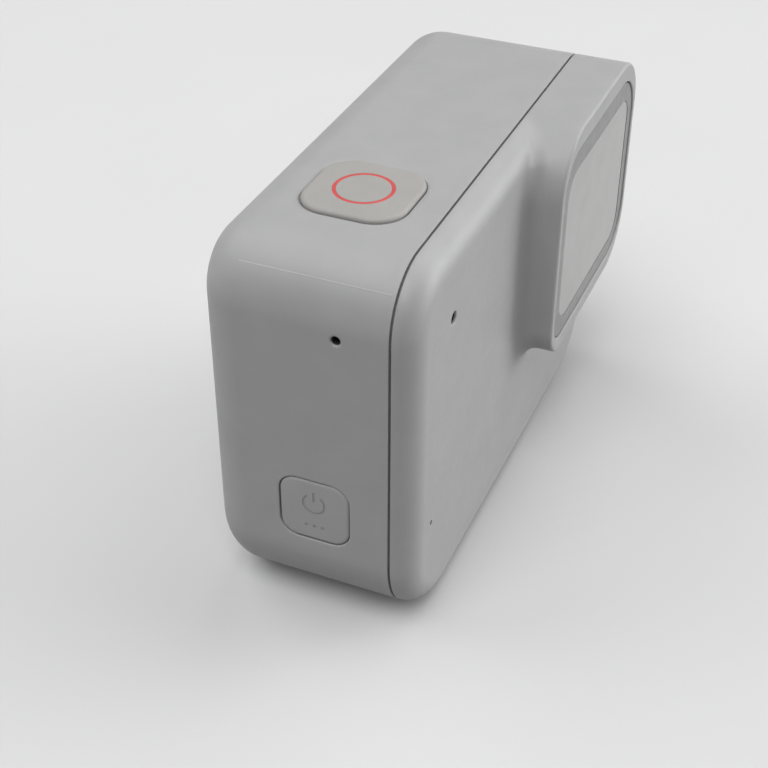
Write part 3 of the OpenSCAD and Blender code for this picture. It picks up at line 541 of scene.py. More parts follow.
def side_mic_hole(grow):
    return circle(SIDE_MIC[2], SIDE_MIC[1], SIDE_MIC_R + grow, SMALL_RING)


def door_hole(grow):
    """Door opening with the latch's notch below it, as one ring in Z and Y."""
    y0, y1 = DOOR_LOW[1] - DOOR_GAP - grow, DOOR_HIGH[1] + DOOR_GAP + grow
    z0, z1 = DOOR_LOW[2] - DOOR_GAP - grow, DOOR_HIGH[2] + DOOR_GAP + grow
    top, low, arc = DOOR_HOLE_TOP_R + grow, DOOR_LOW_R + grow, 8
    ring = loop(y0, y1, z0, z1, (top, top, low, low), arc=arc)
    half, floor, r = NOTCH_HALF + grow, NOTCH_FLOOR - grow, NOTCH_R
    turn = [math.radians(a) for a in range(0, 91, 15)]
    notch = [(LATCH_Y - half, z0)]
    notch += [(LATCH_Y - half + r - r * math.cos(a), floor + r - r * math.sin(a)) for a in turn]
    notch += [(LATCH_Y + half - r + r * math.sin(a), floor + r - r * math.cos(a)) for a in turn]
    notch += [(LATCH_Y + half, z0)]
    before = 3 * (arc + 1)  # the notch follows the ring's third corner
    return swapped(np.concatenate([ring[:before], np.array(notch), ring[before:]]))


def sound_slot(x, y):
    """Slot of the speaker, as a function of grow."""
    def ring(grow):
        w, h = SLOT_HALF_W + grow, SLOT_HALF_L + grow
        return loop(x - w, x + w, y - h, y + h, SLOT_R + grow, arc=6)
    return ring


def flat_sides():
    """The four flat sides, each with its own holes."""
    speaker = middle("speaker_mesh")
    slots = [(sound_slot(speaker[0] + SLOT_PITCH * i, speaker[1]), EDGE, EDGE)
             for i in range(-2, 3)]
    left = [(mode_hole, *MODE_HOLE_LIP), (side_mic_hole, *SIDE_MIC_LIP)]
    x, low, high = HALF_W - TOP_R, BOTTOM_R, CASE_H - TOP_R
    return ((lambda r, d: at_z(r, CASE_H - d), -x, x, [(cap_hole, *CAP_HOLE_LIP)]),
            (lambda r, d: at_x(swapped(r), d - HALF_W), low, high, left),
            (lambda r, d: at_x(swapped(r), HALF_W - d), low, high, [(door_hole, EDGE, EDGE)]),
            (at_z, BOTTOM_R - HALF_W, HALF_W - BOTTOM_R, slots))


def corner_walls(skin, inset, y0, y1):
    """Rounded corners of the wrap-round wall, between two depths."""
    ring = case_loop(inset)
    n = ARC + 1
    faces = [(i, i + 1, n + i + 1, n + i) for i in range(n - 1)]
    for k in range(4):
        part = ring[k * n:(k + 1) * n]
        skin.add(np.concatenate([at_y(part, y0), at_y(part, y1)]), faces)


def build_rear_shell():
    """Rear body: wrap-round wall with its holes, rounded back and display recess."""
    skin = Skin()
    front = SEAM_BACK + EDGE
    back = BACK_Y - BACK_EDGE_R
    inner_back = BACK_Y - BACK_WALL
    inner_r = BACK_EDGE_R - WALL
    inner_start = inner_back - inner_r
    seam = [at_y(case_loop(WALL), SEAM_BACK)]
    seam += [at_y(case_loop(i), SEAM_BACK + d) for i, d in rounding(EDGE, 4)]
    skin.loft(seam)
    corner_walls(skin, 0.0, front, back)
    corner_walls(skin, WALL, SEAM_BACK, inner_start)
    for side in flat_sides():
        build_side(skin, side, front, back, inner_start)
    # rounded back edge, display recess and inner skin
    recess_y = SCREEN_FRONT - SCREEN_BED
    screen_box, panel_box = outline("display_glass"), outline("display_panel")
    rings = [at_y(case_loop(i), BACK_Y - d) for i, d in rounding(BACK_EDGE_R, 12)[::-1]]
    rings += [at_y(grown(screen_box, SCREEN_R, SCREEN_GAP + i), BACK_Y - d)
              for i, d in rounding(EDGE, 4)]
    rings.append(at_y(grown(screen_box, SCREEN_R, SCREEN_GAP), recess_y))
    rings.append(at_y(grown(panel_box, PANEL_R, PANEL_GAP), recess_y))
    rings.append(at_y(grown(panel_box, PANEL_R, PANEL_GAP), inner_back))
    rings += [at_y(case_loop(WALL + i), inner_back - d) for i, d in rounding(inner_r, 8)]
    skin.loft(rings)
    skin.make("rear_shell", case_plastic, "case", ["rear_body"])


# ---- front cover: an implicit surface with a rolled fillet round the lens block ----

SEAM_CUT = SEAM_FRONT - EDGE - STRIP
RIM_CUT = BLOCK_Y + RIM_DEPTH
INNER_Y = FRONT_Y + FRONT_WALL
NET_HOLE_R = 1.3  # the net is left open this far round each small hole
FINE = dict(arc=ARC, side=12)


def outline_distance(x, z, box, radii):
    """Signed distance to a rectangle with its own radius at each corner."""
    x0, x1, z0, z1 = box
    cx, cz = (x0 + x1) / 2, (z0 + z1) / 2
    tr, tl, bl, br = radii
    r = np.where(z > cz, np.where(x > cx, tr, tl), np.where(x > cx, br, bl))
    qx = np.abs(x - cx) - (x1 - x0) / 2 + r
    qz = np.abs(z - cz) - (z1 - z0) / 2 + r
    return np.minimum(np.maximum(qx, qz), 0) + np.hypot(np.maximum(qx, 0), np.maximum(qz, 0)) - r


def slab_distance(d, y, front, r):
    """Signed distance to an outline's solid that starts at front, with a rounded edge."""
    a = d + r
    b = front + r - y
    return np.minimum(np.maximum(a, b), 0) + np.hypot(np.maximum(a, 0), np.maximum(b, 0)) - r


def two_fields(p):
    """Distances to the case's front and to the lens block."""
    x, y, z = p[..., 0], p[..., 1], p[..., 2]
    case_radii = (TOP_R, TOP_R, BOTTOM_R, BOTTOM_R)
    outer = outline_distance(x, z, (-HALF_W, HALF_W, 0, CASE_H), case_radii)
    case = slab_distance(outer, y, FRONT_Y, FRONT_EDGE_R)
    block = slab_distance(outline_distance(x, z, BLOCK, BLOCK_RADII), y, BLOCK_Y, BLOCK_EDGE_R)
    return case, block


def gradient(field, p, step=0.01):
    """Numerical gradient of field(points) along X, Y and Z."""
    parts = []
    for axis in range(3):
        shift = np.zeros(3)
        shift[axis] = step
        parts.append((field(p + shift) - field(p - shift)) / (2 * step))
    return np.stack(parts, -1)


def cover_field(p):
    """Distance to the front cover: the two solids joined by a rolling-ball fillet."""
    a, b = two_fields(p)
    slope_a = gradient(lambda q: two_fields(q)[0], p)
    slope_b = gradient(lambda q: two_fields(q)[1], p)
    size = np.linalg.norm(slope_a, axis=-1) * np.linalg.norm(slope_b, axis=-1)
    cosine = np.clip((slope_a * slope_b).sum(-1) / np.maximum(size, 1e-6), -0.999, 0.9995)
    wedge = 1 - cosine * cosine
    over_a = FILLET_R - a
    over_b = FILLET_R - b
    alpha = (over_a - cosine * over_b) / wedge
    beta = (over_b - cosine * over_a) / wedge
    reach = alpha ** 2 + beta ** 2 + 2 * cosine * alpha * beta
    ball = FILLET_R - np.sqrt(np.maximum(reach, 1e-9))
    return np.where((alpha > 0) & (beta > 0), ball, np.minimum(a, b))


def crossings(values):
    """For each axis: which grid edges along it cross zero, how far along, the cells'
    slices at their lower ends, and whether those ends lie inside."""
    found = []
    for axis in range(3):
        lower = tuple(slice(0, -1) if k == axis else slice(None) for k in range(3))
        upper = tuple(slice(1, None) if k == axis else slice(None) for k in range(3))
        f0, f1 = values[lower], values[upper]
        hit = (f0 < 0) != (f1 < 0)
        along = np.where(hit, f0 / np.where(hit, f0 - f1, 1), 0)
        found.append((axis, hit, along, lower, f0 < 0))
    return found


def net_quads(found, number, cells):
    """One quad for each crossing, between the four cells that share its grid edge."""
    quads = []
    for axis, hit, _, _, first_in in found:
        b, c = [k for k in range(3) if k != axis]
        where = np.argwhere(hit)
        keep = (where[:, b] > 0) & (where[:, c] > 0)
        keep &= (where[:, b] < cells[b]) & (where[:, c] < cells[c])
        where = where[keep]
        flip = first_in[tuple(where.T)]
        corner = []
        for db, dc in ((-1, -1), (0, -1), (0, 0), (-1, 0)):
            at = where.copy()
            at[:, b] += db
            at[:, c] += dc
            corner.append(number[tuple(at.T)])
        quad = np.stack(corner, 1)
        if axis == 1:
            flip = ~flip
        quad[~flip] = quad[~flip][:, ::-1]
        quads.append(quad)
    return np.concatenate(quads)


def surface_net(values, origin, step):
    """Points and quads of the zero surface of a sampled field (naive surface nets)."""
    cells = tuple(n - 1 for n in values.shape)
    total = np.zeros(cells + (3,))
    count = np.zeros(cells)
    index = np.indices(values.shape).transpose(1, 2, 3, 0).astype(float)
    found = crossings(values)
    for axis, hit, along, lower, _ in found:
        where = index[lower].copy()
        where[..., axis] += along
        b, c = [k for k in range(3) if k != axis]
        for db in (0, 1):
            for dc in (0, 1):
                src = [slice(None)] * 3
                dst = [slice(None)] * 3
                for k, d in ((b, db), (c, dc)):
                    src[k] = slice(d, values.shape[k] - 1 + d)
                    dst[k] = slice(0, cells[k])
                take = hit[tuple(src)]
                total[tuple(dst)] += where[tuple(src)] * take[..., None]
                count[tuple(dst)] += take
    used = count > 0
    number = np.full(cells, -1)
    number[used] = np.arange(used.sum())
    points = total[used] / count[used][:, None] * step + origin
    return points, net_quads(found, number, cells)


def cover_surface():
    """Points and quads of the front cover's outer skin, pulled onto the exact surface."""
    around = 0.6
    low = np.array((-HALF_W - around, BLOCK_Y - around, -around))
    high = np.array((HALF_W + around, SEAM_FRONT + STRIP, CASE_H + around))
    shape = np.ceil((high - low) / NET_STEP).astype(int) + 1
    grid = low + np.indices(shape).transpose(1, 2, 3, 0) * NET_STEP
    values = np.minimum(*two_fields(grid))
    close = np.abs(values) < FILLET_R + NET_STEP
    values[close] = cover_field(grid[close])
    points, quads = surface_net(values, low, NET_STEP)
    for _ in range(5):
        miss = cover_field(points)
        slope = gradient(cover_field, points)
        steep = np.maximum((slope * slope).sum(-1), 0.05)
        points -= slope * (miss / steep)[:, None].clip(-0.2, 0.2)
    return points, quads


def trimmed_cover(centres):
    """Outer skin, cut level at the seam and below the rim, and open round the centres of the
    two small holes."""
    points, quads = cover_surface()
    middles = points[quads].mean(1)
    drop = np.zeros(len(quads), bool)
    for x, z in centres:
        drop |= np.hypot(middles[:, 0] - x, middles[:, 2] - z) < NET_HOLE_R
    drop &= np.abs(middles[:, 1] - FRONT_Y) < 0.05
    rough = bpy.data.meshes.new("outer_skin")
    rough.from_pydata((points * SCALE).tolist(), [], quads[~drop].tolist())
    shape = bmesh.new()
    shape.from_mesh(rough)
    bpy.data.meshes.remove(rough)
    for y, outward in ((SEAM_CUT, 1), (RIM_CUT, -1)):
        bmesh.ops.bisect_plane(shape, geom=shape.verts[:] + shape.edges[:] + shape.faces[:],
                               plane_co=(0, y * SCALE, 0), plane_no=(0, outward, 0),
                               clear_outer=True)
    return shape


def boundary_ring(shape, centre):
    """Open edge round a point on the front face, as an ordered ring in X and Z."""
    follow = {}
    for e in shape.edges:
        at = (e.verts[0].co + e.verts[1].co) / 2 / SCALE
        away = math.hypot(at.x - centre[0], at.z - centre[1])
        if len(e.link_faces) == 1 and away < NET_HOLE_R + 3 * NET_STEP:
            for v, w in ((e.verts[0], e.verts[1]), (e.verts[1], e.verts[0])):
                follow.setdefault(v, []).append(w)
    start = next(iter(follow))
    ring = [start]
    last = None
    while True:
        onward = [v for v in follow[ring[-1]] if v is not last][0]
        last = ring[-1]
        if onward is start:
            break
        ring.append(onward)
    return np.array([(v.co.x / SCALE, v.co.z / SCALE) for v in ring])


def block_rim(skin, cavity):
    """Rim of the lens block, from its side wall through the window opening to the inside."""
    rings = [at_y(grown(BLOCK, BLOCK_RADII, **FINE), RIM_CUT - STRIP)]
    rings += [at_y(grown(BLOCK, BLOCK_RADII, -i, **FINE), BLOCK_Y + d)
              for i, d in rounding(BLOCK_EDGE_R, 6)[::-1]]
    rings += [at_y(grown(OPENING, OPENING_RADII, i, **FINE), BLOCK_Y + d)
              for i, d in rounding(OPENING_LIP, 4)]
    ledge_y = BEZEL_HIGH[1]
    rings += [at_y(grown(OPENING, OPENING_RADII, g, **FINE), y)
              for g, y in ((0, ledge_y), (-LEDGE, ledge_y), (-LEDGE, ledge_y + 1))]
    rings += [at_y(cavity, ledge_y + 1), at_y(cavity, INNER_Y)]
    skin.loft(rings)


def bridge(shape, y0, y1):
    """Joins the open edges at two depths, which have different numbers of points."""
    def near(v):
        return min(abs(v.co.y / SCALE - y) for y in (y0, y1)) < 0.01
    rims = [e for e in shape.edges
            if len(e.link_faces) == 1 and near(e.verts[0]) and near(e.verts[1])]
    bmesh.ops.bridge_loops(shape, edges=rims)


def build_front_shell():
    """Front cover: implicit outer skin, built edges, and a simple inner skin."""
    holes = ((FRONT_MIC[[0, 2]], FRONT_MIC_R, FRONT_MIC_LIP), (LAMP[[0, 2]], LAMP_R, LAMP_LIP))
    shape = trimmed_cover([centre for centre, _, _ in holes])
    skin = Skin()
    inside = case_loop(WALL, **FINE)
    seam = [at_y(inside, SEAM_FRONT)]
    seam += [at_y(case_loop(i, **FINE), SEAM_FRONT - d) for i, d in rounding(EDGE, 4)]
    skin.loft(seam)
    cavity = grown(CAVITY, CAVITY_R, **FINE)
    block_rim(skin, cavity)
    skin.loft([at_y(inside, SEAM_FRONT), at_y(inside, INNER_Y)])
    small = [circle(*centre, radius, SMALL_RING) for centre, radius, _ in holes]
    skin.plate(inside, [cavity] + small, lambda r: at_y(r, INNER_Y))
    for centre, radius, width in holes:
        edge = boundary_ring(shape, centre)
        skin.plate(edge, [circle(*centre, radius + width + MARGIN, SMALL_RING)],
                   lambda r: at_y(r, FRONT_Y))
        lip(skin, lambda g, c=centre, r=radius: circle(*c, r + g, SMALL_RING),
            lambda r, d: at_y(r, FRONT_Y + d), INNER_Y - FRONT_Y, width, width)
    built = skin.mesh("front_shell")
    shape.from_mesh(built)
    bmesh.ops.remove_doubles(shape, verts=shape.verts, dist=WELD * SCALE)
    bridge(shape, SEAM_CUT, SEAM_FRONT - EDGE)
    bridge(shape, RIM_CUT, RIM_CUT - STRIP)
    shape.to_mesh(built)
    shape.free()
    finish_mesh(built, case_plastic, "case", ["front_cover"])


# ---- window, buttons, door and display ----

def build_bezel():
    """Grey frame inside the window opening."""
    outer, glass = outline("lens_bezel"), outline("lens_cover_glass")
    front, back = BEZEL_LOW[1], BEZEL_HIGH[1]
    step = GLASS_BACK + GLASS_BED
    rings = [at_y(grown(outer, BEZEL_RADII), back)]
    rings += [at_y(grown(outer, BEZEL_RADII, -i), front + d)
              for i, d in rounding(BEZEL_EDGE_R, 4)[::-1]]
    rings += [at_y(grown(glass, GLASS_R, GLASS_GAP + i), front + d)
              for i, d in rounding(GLASS_EDGE_R, 3)]
    rings += [at_y(grown(glass, GLASS_R, g), y)
              for g, y in ((GLASS_GAP, step), (-BEZEL_LEDGE, step), (-BEZEL_LEDGE, back))]
    rings.append(rings[0])
    lofted_piece("window_bezel", rings, bezel_plastic, "case", ["lens_bezel"])


def build_pane(name, node, radius, edge, material):
    """Rounded glass plate that faces along Y, with soft edges front and back."""
    low, high = span(node)
    box = outline(node)
    curve = [(edge + MARGIN, 0)] + rounding(edge, 4)
    rings = [at_y(grown(box, radius, -i), low[1] + d) for i, d in curve]
    rings += [at_y(grown(box, radius, -i), high[1] - d) for i, d in curve[::-1]]
    lofted_piece(name, rings, material, "case", [node], True)


def cap_square(half, radius, z):
    return at_z(square(CAP_X, CAP_Y, half, radius), z)


def cap_circle(radius, z):
    return at_z(circle(CAP_X, CAP_Y, radius), z)


def build_shutter():
    """Shutter button: soft square cap with a groove that holds the red ring, and the wiper
    seal round it."""
    foot, top = CAP_LOW[2], CAP_HIGH[2]
    outer = half_size("shutter_ring")[0]
    inner = outer - RING_LINE
    flange_top, groove = foot + FLANGE_THICK, top - RING_DEPTH
    rings = [cap_square(CAP_HALF + FLANGE, CAP_FLANGE_R, foot),
             cap_square(CAP_HALF + FLANGE, CAP_FLANGE_R, flange_top),
             cap_square(CAP_HALF, CAP_R, flange_top)]
    rings += [cap_square(CAP_HALF - i, CAP_R - i, top - d - CAP_CROWN)
              for i, d in rounding(CAP_EDGE_R, 8)[::-1]]
    section = ((outer + 0.04, top - 0.01), (outer, top - 0.04), (outer, groove), (inner, groove),
               (inner, top - 0.04), (inner - 0.04, top - 0.01), (0.3 * (inner + outer), top))
    rings += [cap_circle(r, z) for r, z in section]
    lofted_piece("shutter_button", rings, silicone, "shutter_button", ["shutter_cap"],
                 True)

    near, far = CAP_HALF + 0.03, CAP_HALF + CAP_GAP - 0.005
    section = ((far, 0.9), (far, 0.3), (near + 0.03, 0.3), (near, 0.34), (near, 0.9), (far, 0.9))
    rings = [cap_square(h, CAP_R + h - CAP_HALF, CASE_H - d) for h, d in section]
    lofted_piece("shutter_wiper", rings, silicone, "case", [])

    outer, inner = outer - 0.01, inner + 0.01
    section = ((outer, groove), (outer, top - 0.05), (outer - 0.05, top - 0.015),
               (inner + 0.05, top - 0.015), (inner, top - 0.05), (inner, groove), (outer, groove))
    lofted_piece("shutter_ring_inlay", [cap_circle(r, z) for r, z in section], ring_red,
                 "shutter_button", ["shutter_ring"])


def symbol_rings(cy, cz):
    """Rings of the power symbol and of three dots below it, in Y and Z."""
    r, half, gap = 1.22, 0.13, 38
    turn = np.radians(np.linspace(90 + gap, 450 - gap, 36))
    arcs = [np.stack([cy + radius * np.cos(t), cz + radius * np.sin(t)], 1)
            for radius, t in ((r + half, turn), (r - half, turn[::-1]))]
    bar = loop(cy - half, cy + half, cz + 0.25, cz + 1.6, half * 0.9, arc=4)
    dots = [circle(cy + 0.95 * i, cz - 3.05, 0.22, 18) for i in (-1, 0, 1)]
    return [np.concatenate(arcs), bar] + dots


def build_mode_button():
    """Mode button: bevelled square cap with a sunk power symbol."""
    face, back = MODE_LOW[0] + 0.02, MODE_HIGH[0]
    floor, fill_face = face + 0.1, face + 0.05
    flange_x = back - FLANGE_THICK

    def ring(half, radius):
        return square(MODE_Y, MODE_Z, half, radius)

    wide = ring(MODE_HALF + FLANGE, MODE_FLANGE_R)
    rings = [at_x(wide, back), at_x(wide, flange_x), at_x(ring(MODE_HALF, MODE_R), flange_x)]
    rings += [at_x(ring(MODE_HALF - i, MODE_R - i), face + d)
              for i, d in rounding(MODE_EDGE_R, 6)[::-1]]
    skin = Skin()
    skin.loft(rings, cap_start=True)
    marks = symbol_rings(MODE_Y, MODE_Z + 0.95)
    skin.plate(ring(MODE_HALF - MODE_EDGE_R, MODE_R - MODE_EDGE_R), marks, lambda r: at_x(r, face))
    fill = Skin()
    for mark in marks:
        skin.loft([at_x(mark, face), at_x(mark, floor)])
        skin.plate(mark, [], lambda r: at_x(r, floor))
        fill.loft([at_x(mark, floor), at_x(mark, fill_face)])
        fill.plate(mark, [], lambda r: at_x(r, fill_face))
        fill.plate(mark, [], lambda r: at_x(r, floor))
    skin.make("mode_button", case_plastic, "mode_button", ["mode_cap"])
    fill.make("mode_symbol", mark_grey, "mode_button", [])


def build_door():
    """Port door: bevelled panel with a thumb recess, and its hinge barrel."""
    y0, y1 = DOOR_LOW[1], DOOR_HIGH[1]
    knuckle = HALF_W - PIN_X
    top = PIN_Z + 0.55 * knuckle  # the panel ends just above the pin
    radii = (DOOR_TOP_R, DOOR_TOP_R, DOOR_LOW_R, DOOR_LOW_R)

    def ring(grow):
        return loop(y0 - grow, y1 + grow, DOOR_LOW[2] - grow, top, [r + grow for r in radii],
                    arc=10)

    def recess(grow):
        return loop(LATCH_Y - THUMB_HALF - grow, LATCH_Y + THUMB_HALF + grow, THUMB_LOW - grow,
                    THUMB_HIGH + grow, THUMB_R + grow, arc=8)

    inner = HALF_W - DOOR_THICK
    rings = [at_x(ring(-0.1), inner), at_x(ring(0), inner + 0.1)]
    rings += [at_x(ring(-i), HALF_W - d) for i, d in rounding(DOOR_EDGE_R, 5)[::-1]]
    skin = Skin()
    skin.loft(rings, cap_start=True)
    inset = DOOR_EDGE_R + MARGIN
    skin.loft([at_x(ring(-DOOR_EDGE_R), HALF_W), at_x(ring(-inset), HALF_W)])
    skin.plate(ring(-inset), [recess(THUMB_EDGE_R + MARGIN)], lambda r: at_x(r, HALF_W))
    lip(skin, recess, lambda r, d: at_x(r, HALF_W - d), THUMB_DEPTH, THUMB_EDGE_R, THUMB_EDGE_R)
    skin.plate(recess(0), [], lambda r: at_x(r, HALF_W - THUMB_DEPTH))
    skin.make("door_panel", case_plastic, "port_door", ["side_door"])

    bore, rim, wall = 0.45, knuckle - 0.1, knuckle - 0.005
    profile = ((y0, bore), (y0, rim), (y0 + 0.1, wall), (y1 - 0.1, wall), (y1, rim), (y1, bore),
               (y0, bore))
    rings = [at_y(circle(PIN_X, PIN_Z, r, 40), y) for y, r in profile]
    lofted_piece("door_hinge_barrel", rings, case_plastic, "port_door", [])


def build_latch():
    """Thumb latch: ribbed pad with a bolt below it."""
    y0, y1 = LATCH_LOW[1], LATCH_HIGH[1]
    face = HALF_W - PAD_SUNK

    def pad(inset):
        return loop(y0 + inset, y1 - inset, PAD_LOW + inset, PAD_HIGH - inset, PAD_R - inset,
                    arc=8)

    def rib(z, inset):
        return loop(y0 + 0.35 + inset, y1 - 0.35 - inset, z - 0.12 + inset, z + 0.12 - inset,
                    0.1 - inset, arc=4)

    def bolt(inset):
        return loop(LATCH_Y - 0.8 + inset, LATCH_Y + 0.8 - inset, LATCH_LOW[2] + inset,
                    LATCH_HIGH[2] - inset, 0.2 - inset, arc=5)

    skin = Skin()
    rings = [at_x(pad(0), HALF_W - 0.66)]
    rings += [at_x(pad(i), face - d) for i, d in rounding(PAD_EDGE_R, 4)[::-1]]
    skin.loft(rings, cap_start=True, cap_end=True)
    for k in range(4):
        z = PAD_LOW + 0.45 + 0.55 * k
        rings = [at_x(rib(z, i), face + out) for i, out in ((0, -0.02), (0, 0.1), (0.06, 0.16))]
        skin.loft(rings, cap_start=True, cap_end=True)
    back = LATCH_LOW[0]
    ends = ((0.06, back), (0, back + 0.06), (0, HALF_W - 0.71), (0.06, HALF_W - 0.65))
    skin.loft([at_x(bolt(i), x) for i, x in ends], cap_start=True, cap_end=True)
    skin.make("latch_slider", bezel_plastic, "latch", ["door_latch"])


def build_mic_hole_shade(name, centre, place, hole, depth):
    """Dark sleeve that lines a microphone hole: painted shade in place of the hole's own wall,
    which lies in shade.
    """
    outer, inner, start = hole - 0.002, hole - 0.07, 0.26
    section = ((outer, start), (inner + 0.03, start), (inner, start + 0.04), (inner, depth),
               (outer, depth), (outer, start))
    rings = [place(circle(*centre, r, SMALL_RING), d) for r, d in section]
    lofted_piece(name, rings, seal_rubber, "case", [])


# Painted shade: a dark sleeve in each microphone hole stands in for the shaded hole walls.
def build_mic_hole_shades():
    build_mic_hole_shade("side_mic_hole_shade", SIDE_MIC[[2, 1]],
                   lambda r, d: at_x(swapped(r), d - HALF_W), SIDE_MIC_R, WALL - 0.05)
    build_mic_hole_shade("front_mic_hole_shade", FRONT_MIC[[0, 2]],
                   lambda r, d: at_y(r, FRONT_Y + d), FRONT_MIC_R, FRONT_WALL - 0.05)


def build_status_light():
    """Small domed window of the status light, set just below the front face."""
    face, back = FRONT_Y + 0.1, span("status_light")[1][1]
    r = LAMP_R - 0.01
    profile = ((r, back), (r, face + 0.06), (0.8 * r, face + 0.03), (0.5 * r, face + 0.01),
               (0.15 * r, face))
    rings = [at_y(circle(LAMP[0], LAMP[2], radius, SMALL_RING), y) for radius, y in profile]
    lofted_piece("status_window", rings, light_window, "case", ["status_light"],
                 True)


def build_moulding_line():
    """Fine raised line along the rounding between the top and the mode button's side, made lighter
    than the case to paint a highlight along it.
    """
    reach, half = math.radians(LINE_ANGLE), math.radians(0.55)
    cx, cz = TOP_R - HALF_W, CASE_H - TOP_R
    foot, crest = -0.05, 0.016
    section = ((-half, foot), (-half, 0.0), (-half / 3, crest), (half / 3, crest), (half, 0.0),
               (half, foot))
    ring = np.array([(cx - (TOP_R + rise) * math.sin(reach + turn),
                      cz + (TOP_R + rise) * math.cos(reach + turn)) for turn, rise in section])
    rings = [at_y(ring, y) for y in np.linspace(SEAM_BACK + 0.4, BACK_Y - BACK_EDGE_R, 12)]
    lofted_piece("moulding_line", rings, painted_highlight_plastic, "case", [], True)


# ---- CAD pieces that stay, with their own finishes ----

FINISHES = (
    (gasket_grey, "seam_gasket"),
    (seal_rubber, "lens_glass_seal shutter_seal mode_seal door_seal display_tape battery_tape"),
    (mask_plastic, "lens_mask"),
    (black_plastic, "lens_barrel lens_holder port_frame usb_tongue speaker shutter_switch "
                    "mode_switch main_chip display_panel"),
    (lens_glass, "lens_front_element lens_middle_element lens_rear_element infrared_filter"),
    (sensor_die, "image_sensor"),
    (pad_blue, "sensor_pad chip_pad"),
    (board_green, "main_board sensor_board"),
    (aluminium, "mid_frame"),
    (steel, "shield_can usb_socket card_socket shutter_plunger mode_plunger hinge_pin "
            "latch_spring frame_screws board_screws lens_screws speaker_mesh side_microphone "
            "front_microphone"),
    (copper, "wifi_antenna"),
    (flex_amber, "display_flex"),
    (wrap_grey, "battery"),
    (wire_red, "battery_lead"),
    (vent_mesh, "side_mic_membrane front_mic_membrane"),
)


def dress_cad_nodes():
    for material, nodes in FINISHES:
        for node in nodes.split():
            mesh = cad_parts[node].data
            mesh.materials.clear()
            mesh.materials.append(material)


# ---- camera, light and floor ----

CAMERA_AT = (-135.017, -50.532, 116.097)
CAMERA_AZIMUTH = -67.118
CAMERA_ELEVATION = 36.167
CAMERA_ROLL = 0.194
CAMERA_LENS = 68.37

FLOOR_REACH, DOME_R = 2600, 2500  # both lie within every view's range
BOUNCE, SKY = 0.36, 0.0  # the world's strength below the horizon, and above it

# azimuth, elevation and spread in degrees, then strength
SUNS = {
    "left_key": (-90, 62, 40, 0.58),
    "low_front": (34, 8, 50, 0.92),
    "right": (65, 55, 50, 0.32),
    "back": (180, 50, 50, 0.40),
}


def aimed(azimuth, elevation):
    """Rotation that points -Z at the object from an azimuth (0 is from the front) and an
    elevation."""
    az, el = math.radians(azimuth), math.radians(elevation)
    back = Vector((math.sin(az) * math.cos(el), -math.cos(az) * math.cos(el), math.sin(el)))
    return back.to_track_quat("Z", "Y")


def build_camera():
    data = bpy.data.cameras.new("camera")
    data.lens = CAMERA_LENS
    data.sensor_width = 36
    data.clip_start = 0.01
    data.clip_end = 20
    camera = add_object("camera", data)
    camera.location = np.array(CAMERA_AT) * SCALE
    camera.rotation_mode = "QUATERNION"
    roll = Quaternion(Vector((0, 0, 1)), math.radians(CAMERA_ROLL))
    camera.rotation_quaternion = aimed(CAMERA_AZIMUTH, CAMERA_ELEVATION) @ roll
    bpy.context.scene.camera = camera


def build_suns():
    for name, (azimuth, elevation, spread, strength) in SUNS.items():
        data = bpy.data.lights.new(name, "SUN")
        data.energy = strength * math.pi
        data.angle = math.radians(spread)
        lamp = add_object(name, data)
        lamp.rotation_mode = "QUATERNION"
        lamp.rotation_quaternion = aimed(azimuth, elevation)


def stage_object(name, skin, material):
    """Stage object that the model's diffuse light doesn't see."""
    mesh = skin.mesh(name)
    mesh.materials.append(material)
    made = add_object(name, mesh)
    made.visible_diffuse = False
    return made


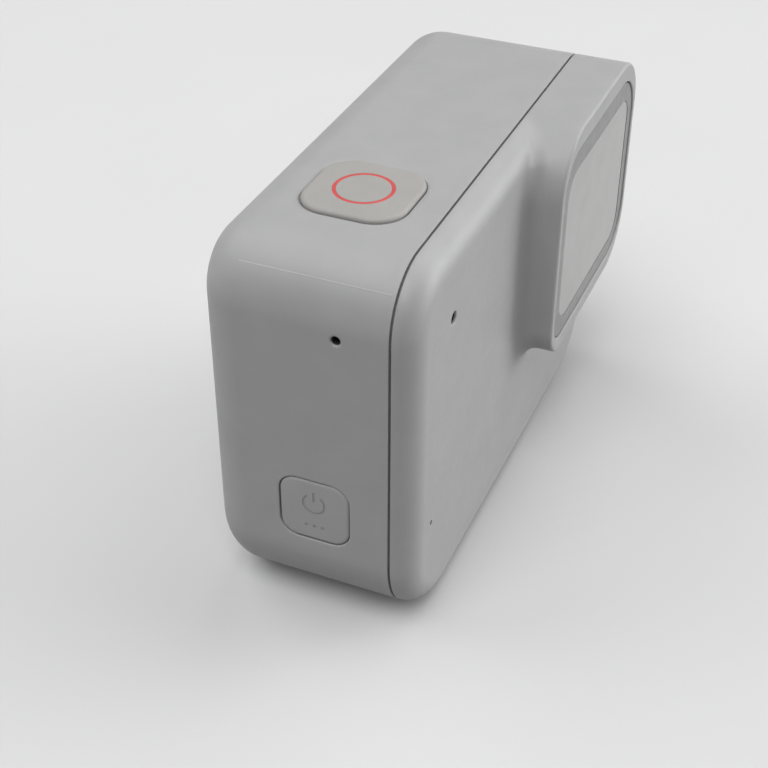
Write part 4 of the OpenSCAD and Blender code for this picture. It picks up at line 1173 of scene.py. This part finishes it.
def build_floor():
    """Pale floor, clear from below so that the underside can be looked at. The world's lower
    half stands for the light that it throws back."""
    material, tree, shader, place = new_material("pale_floor")
    shade = mottled(tree, noise(tree, place, 12), (0.618, 0.618, 0.62), (0.634, 0.634, 0.636))
    tree.links.new(shade, shader.inputs["Base Color"])
    preset(shader, {"Roughness": 0.9, "Specular IOR Level": 0.2})
    clear = tree.nodes.new("ShaderNodeBsdfTransparent")
    sides = tree.nodes.new("ShaderNodeMixShader")
    below = tree.nodes.new("ShaderNodeNewGeometry").outputs["Backfacing"]
    tree.links.new(below, sides.inputs["Fac"])
    tree.links.new(shader.outputs["BSDF"], sides.inputs[1])
    tree.links.new(clear.outputs["BSDF"], sides.inputs[2])
    tree.links.new(sides.outputs["Shader"], tree.nodes["Material Output"].inputs["Surface"])
    r, z = FLOOR_REACH, -0.01
    skin = Skin()
    skin.add([(-r, -r, z), (r, -r, z), (r, r, z), (-r, r, z)], [(0, 1, 2, 3)])
    stage_object("floor", skin, material)


def build_backdrop():
    """Pale dome over the floor, seen by the camera only."""
    material, tree, shader, place = new_material("pale_backdrop")
    shade = mottled(tree, noise(tree, place, 0.4, 2.0), (0.73, 0.73, 0.73), (0.75, 0.75, 0.75))
    tree.links.new(shade, shader.inputs["Emission Color"])
    preset(shader, {"Base Color": (0, 0, 0, 1), "Specular IOR Level": 0.0,
                    "Emission Strength": 1.0})
    material.cycles.emission_sampling = "NONE"
    skin = Skin()
    skin.loft([at_z(circle(0, 0, DOME_R * math.cos(rise), 64), DOME_R * math.sin(rise))
               for rise in np.radians(np.linspace(0, 89.5, 16))], cap_end=True)
    dome = stage_object("backdrop", skin, material)
    dome.visible_glossy = False
    dome.visible_shadow = False


def build_world():
    """Even light from below the horizon, fading out above it."""
    world = bpy.data.worlds.new("world")
    bpy.context.scene.world = world
    world.use_nodes = True
    tree = world.node_tree
    sky = tree.nodes["Background"]
    sky.inputs["Color"].default_value = (1, 1, 1, 1)
    split = tree.nodes.new("ShaderNodeSeparateXYZ")
    place = tree.nodes.new("ShaderNodeTexCoord").outputs["Generated"]
    tree.links.new(place, split.inputs["Vector"])
    strength = remap(tree, split.outputs["Z"], BOUNCE, SKY, (0.0, 0.3))
    tree.links.new(strength, sky.inputs["Strength"])


build_camera()
build_floor()
build_backdrop()
build_world()
build_suns()
bpy.context.scene.view_settings.view_transform = "Standard"

build_rear_shell()
build_front_shell()
build_bezel()
build_pane("cover_glass", "lens_cover_glass", GLASS_R, GLASS_EDGE_R, window_glass)
build_pane("touch_glass", "display_glass", SCREEN_R, SCREEN_EDGE_R, screen)
build_shutter()
build_mode_button()
build_door()
build_latch()
build_mic_hole_shades()
build_status_light()
build_moulding_line()
dress_cad_nodes()
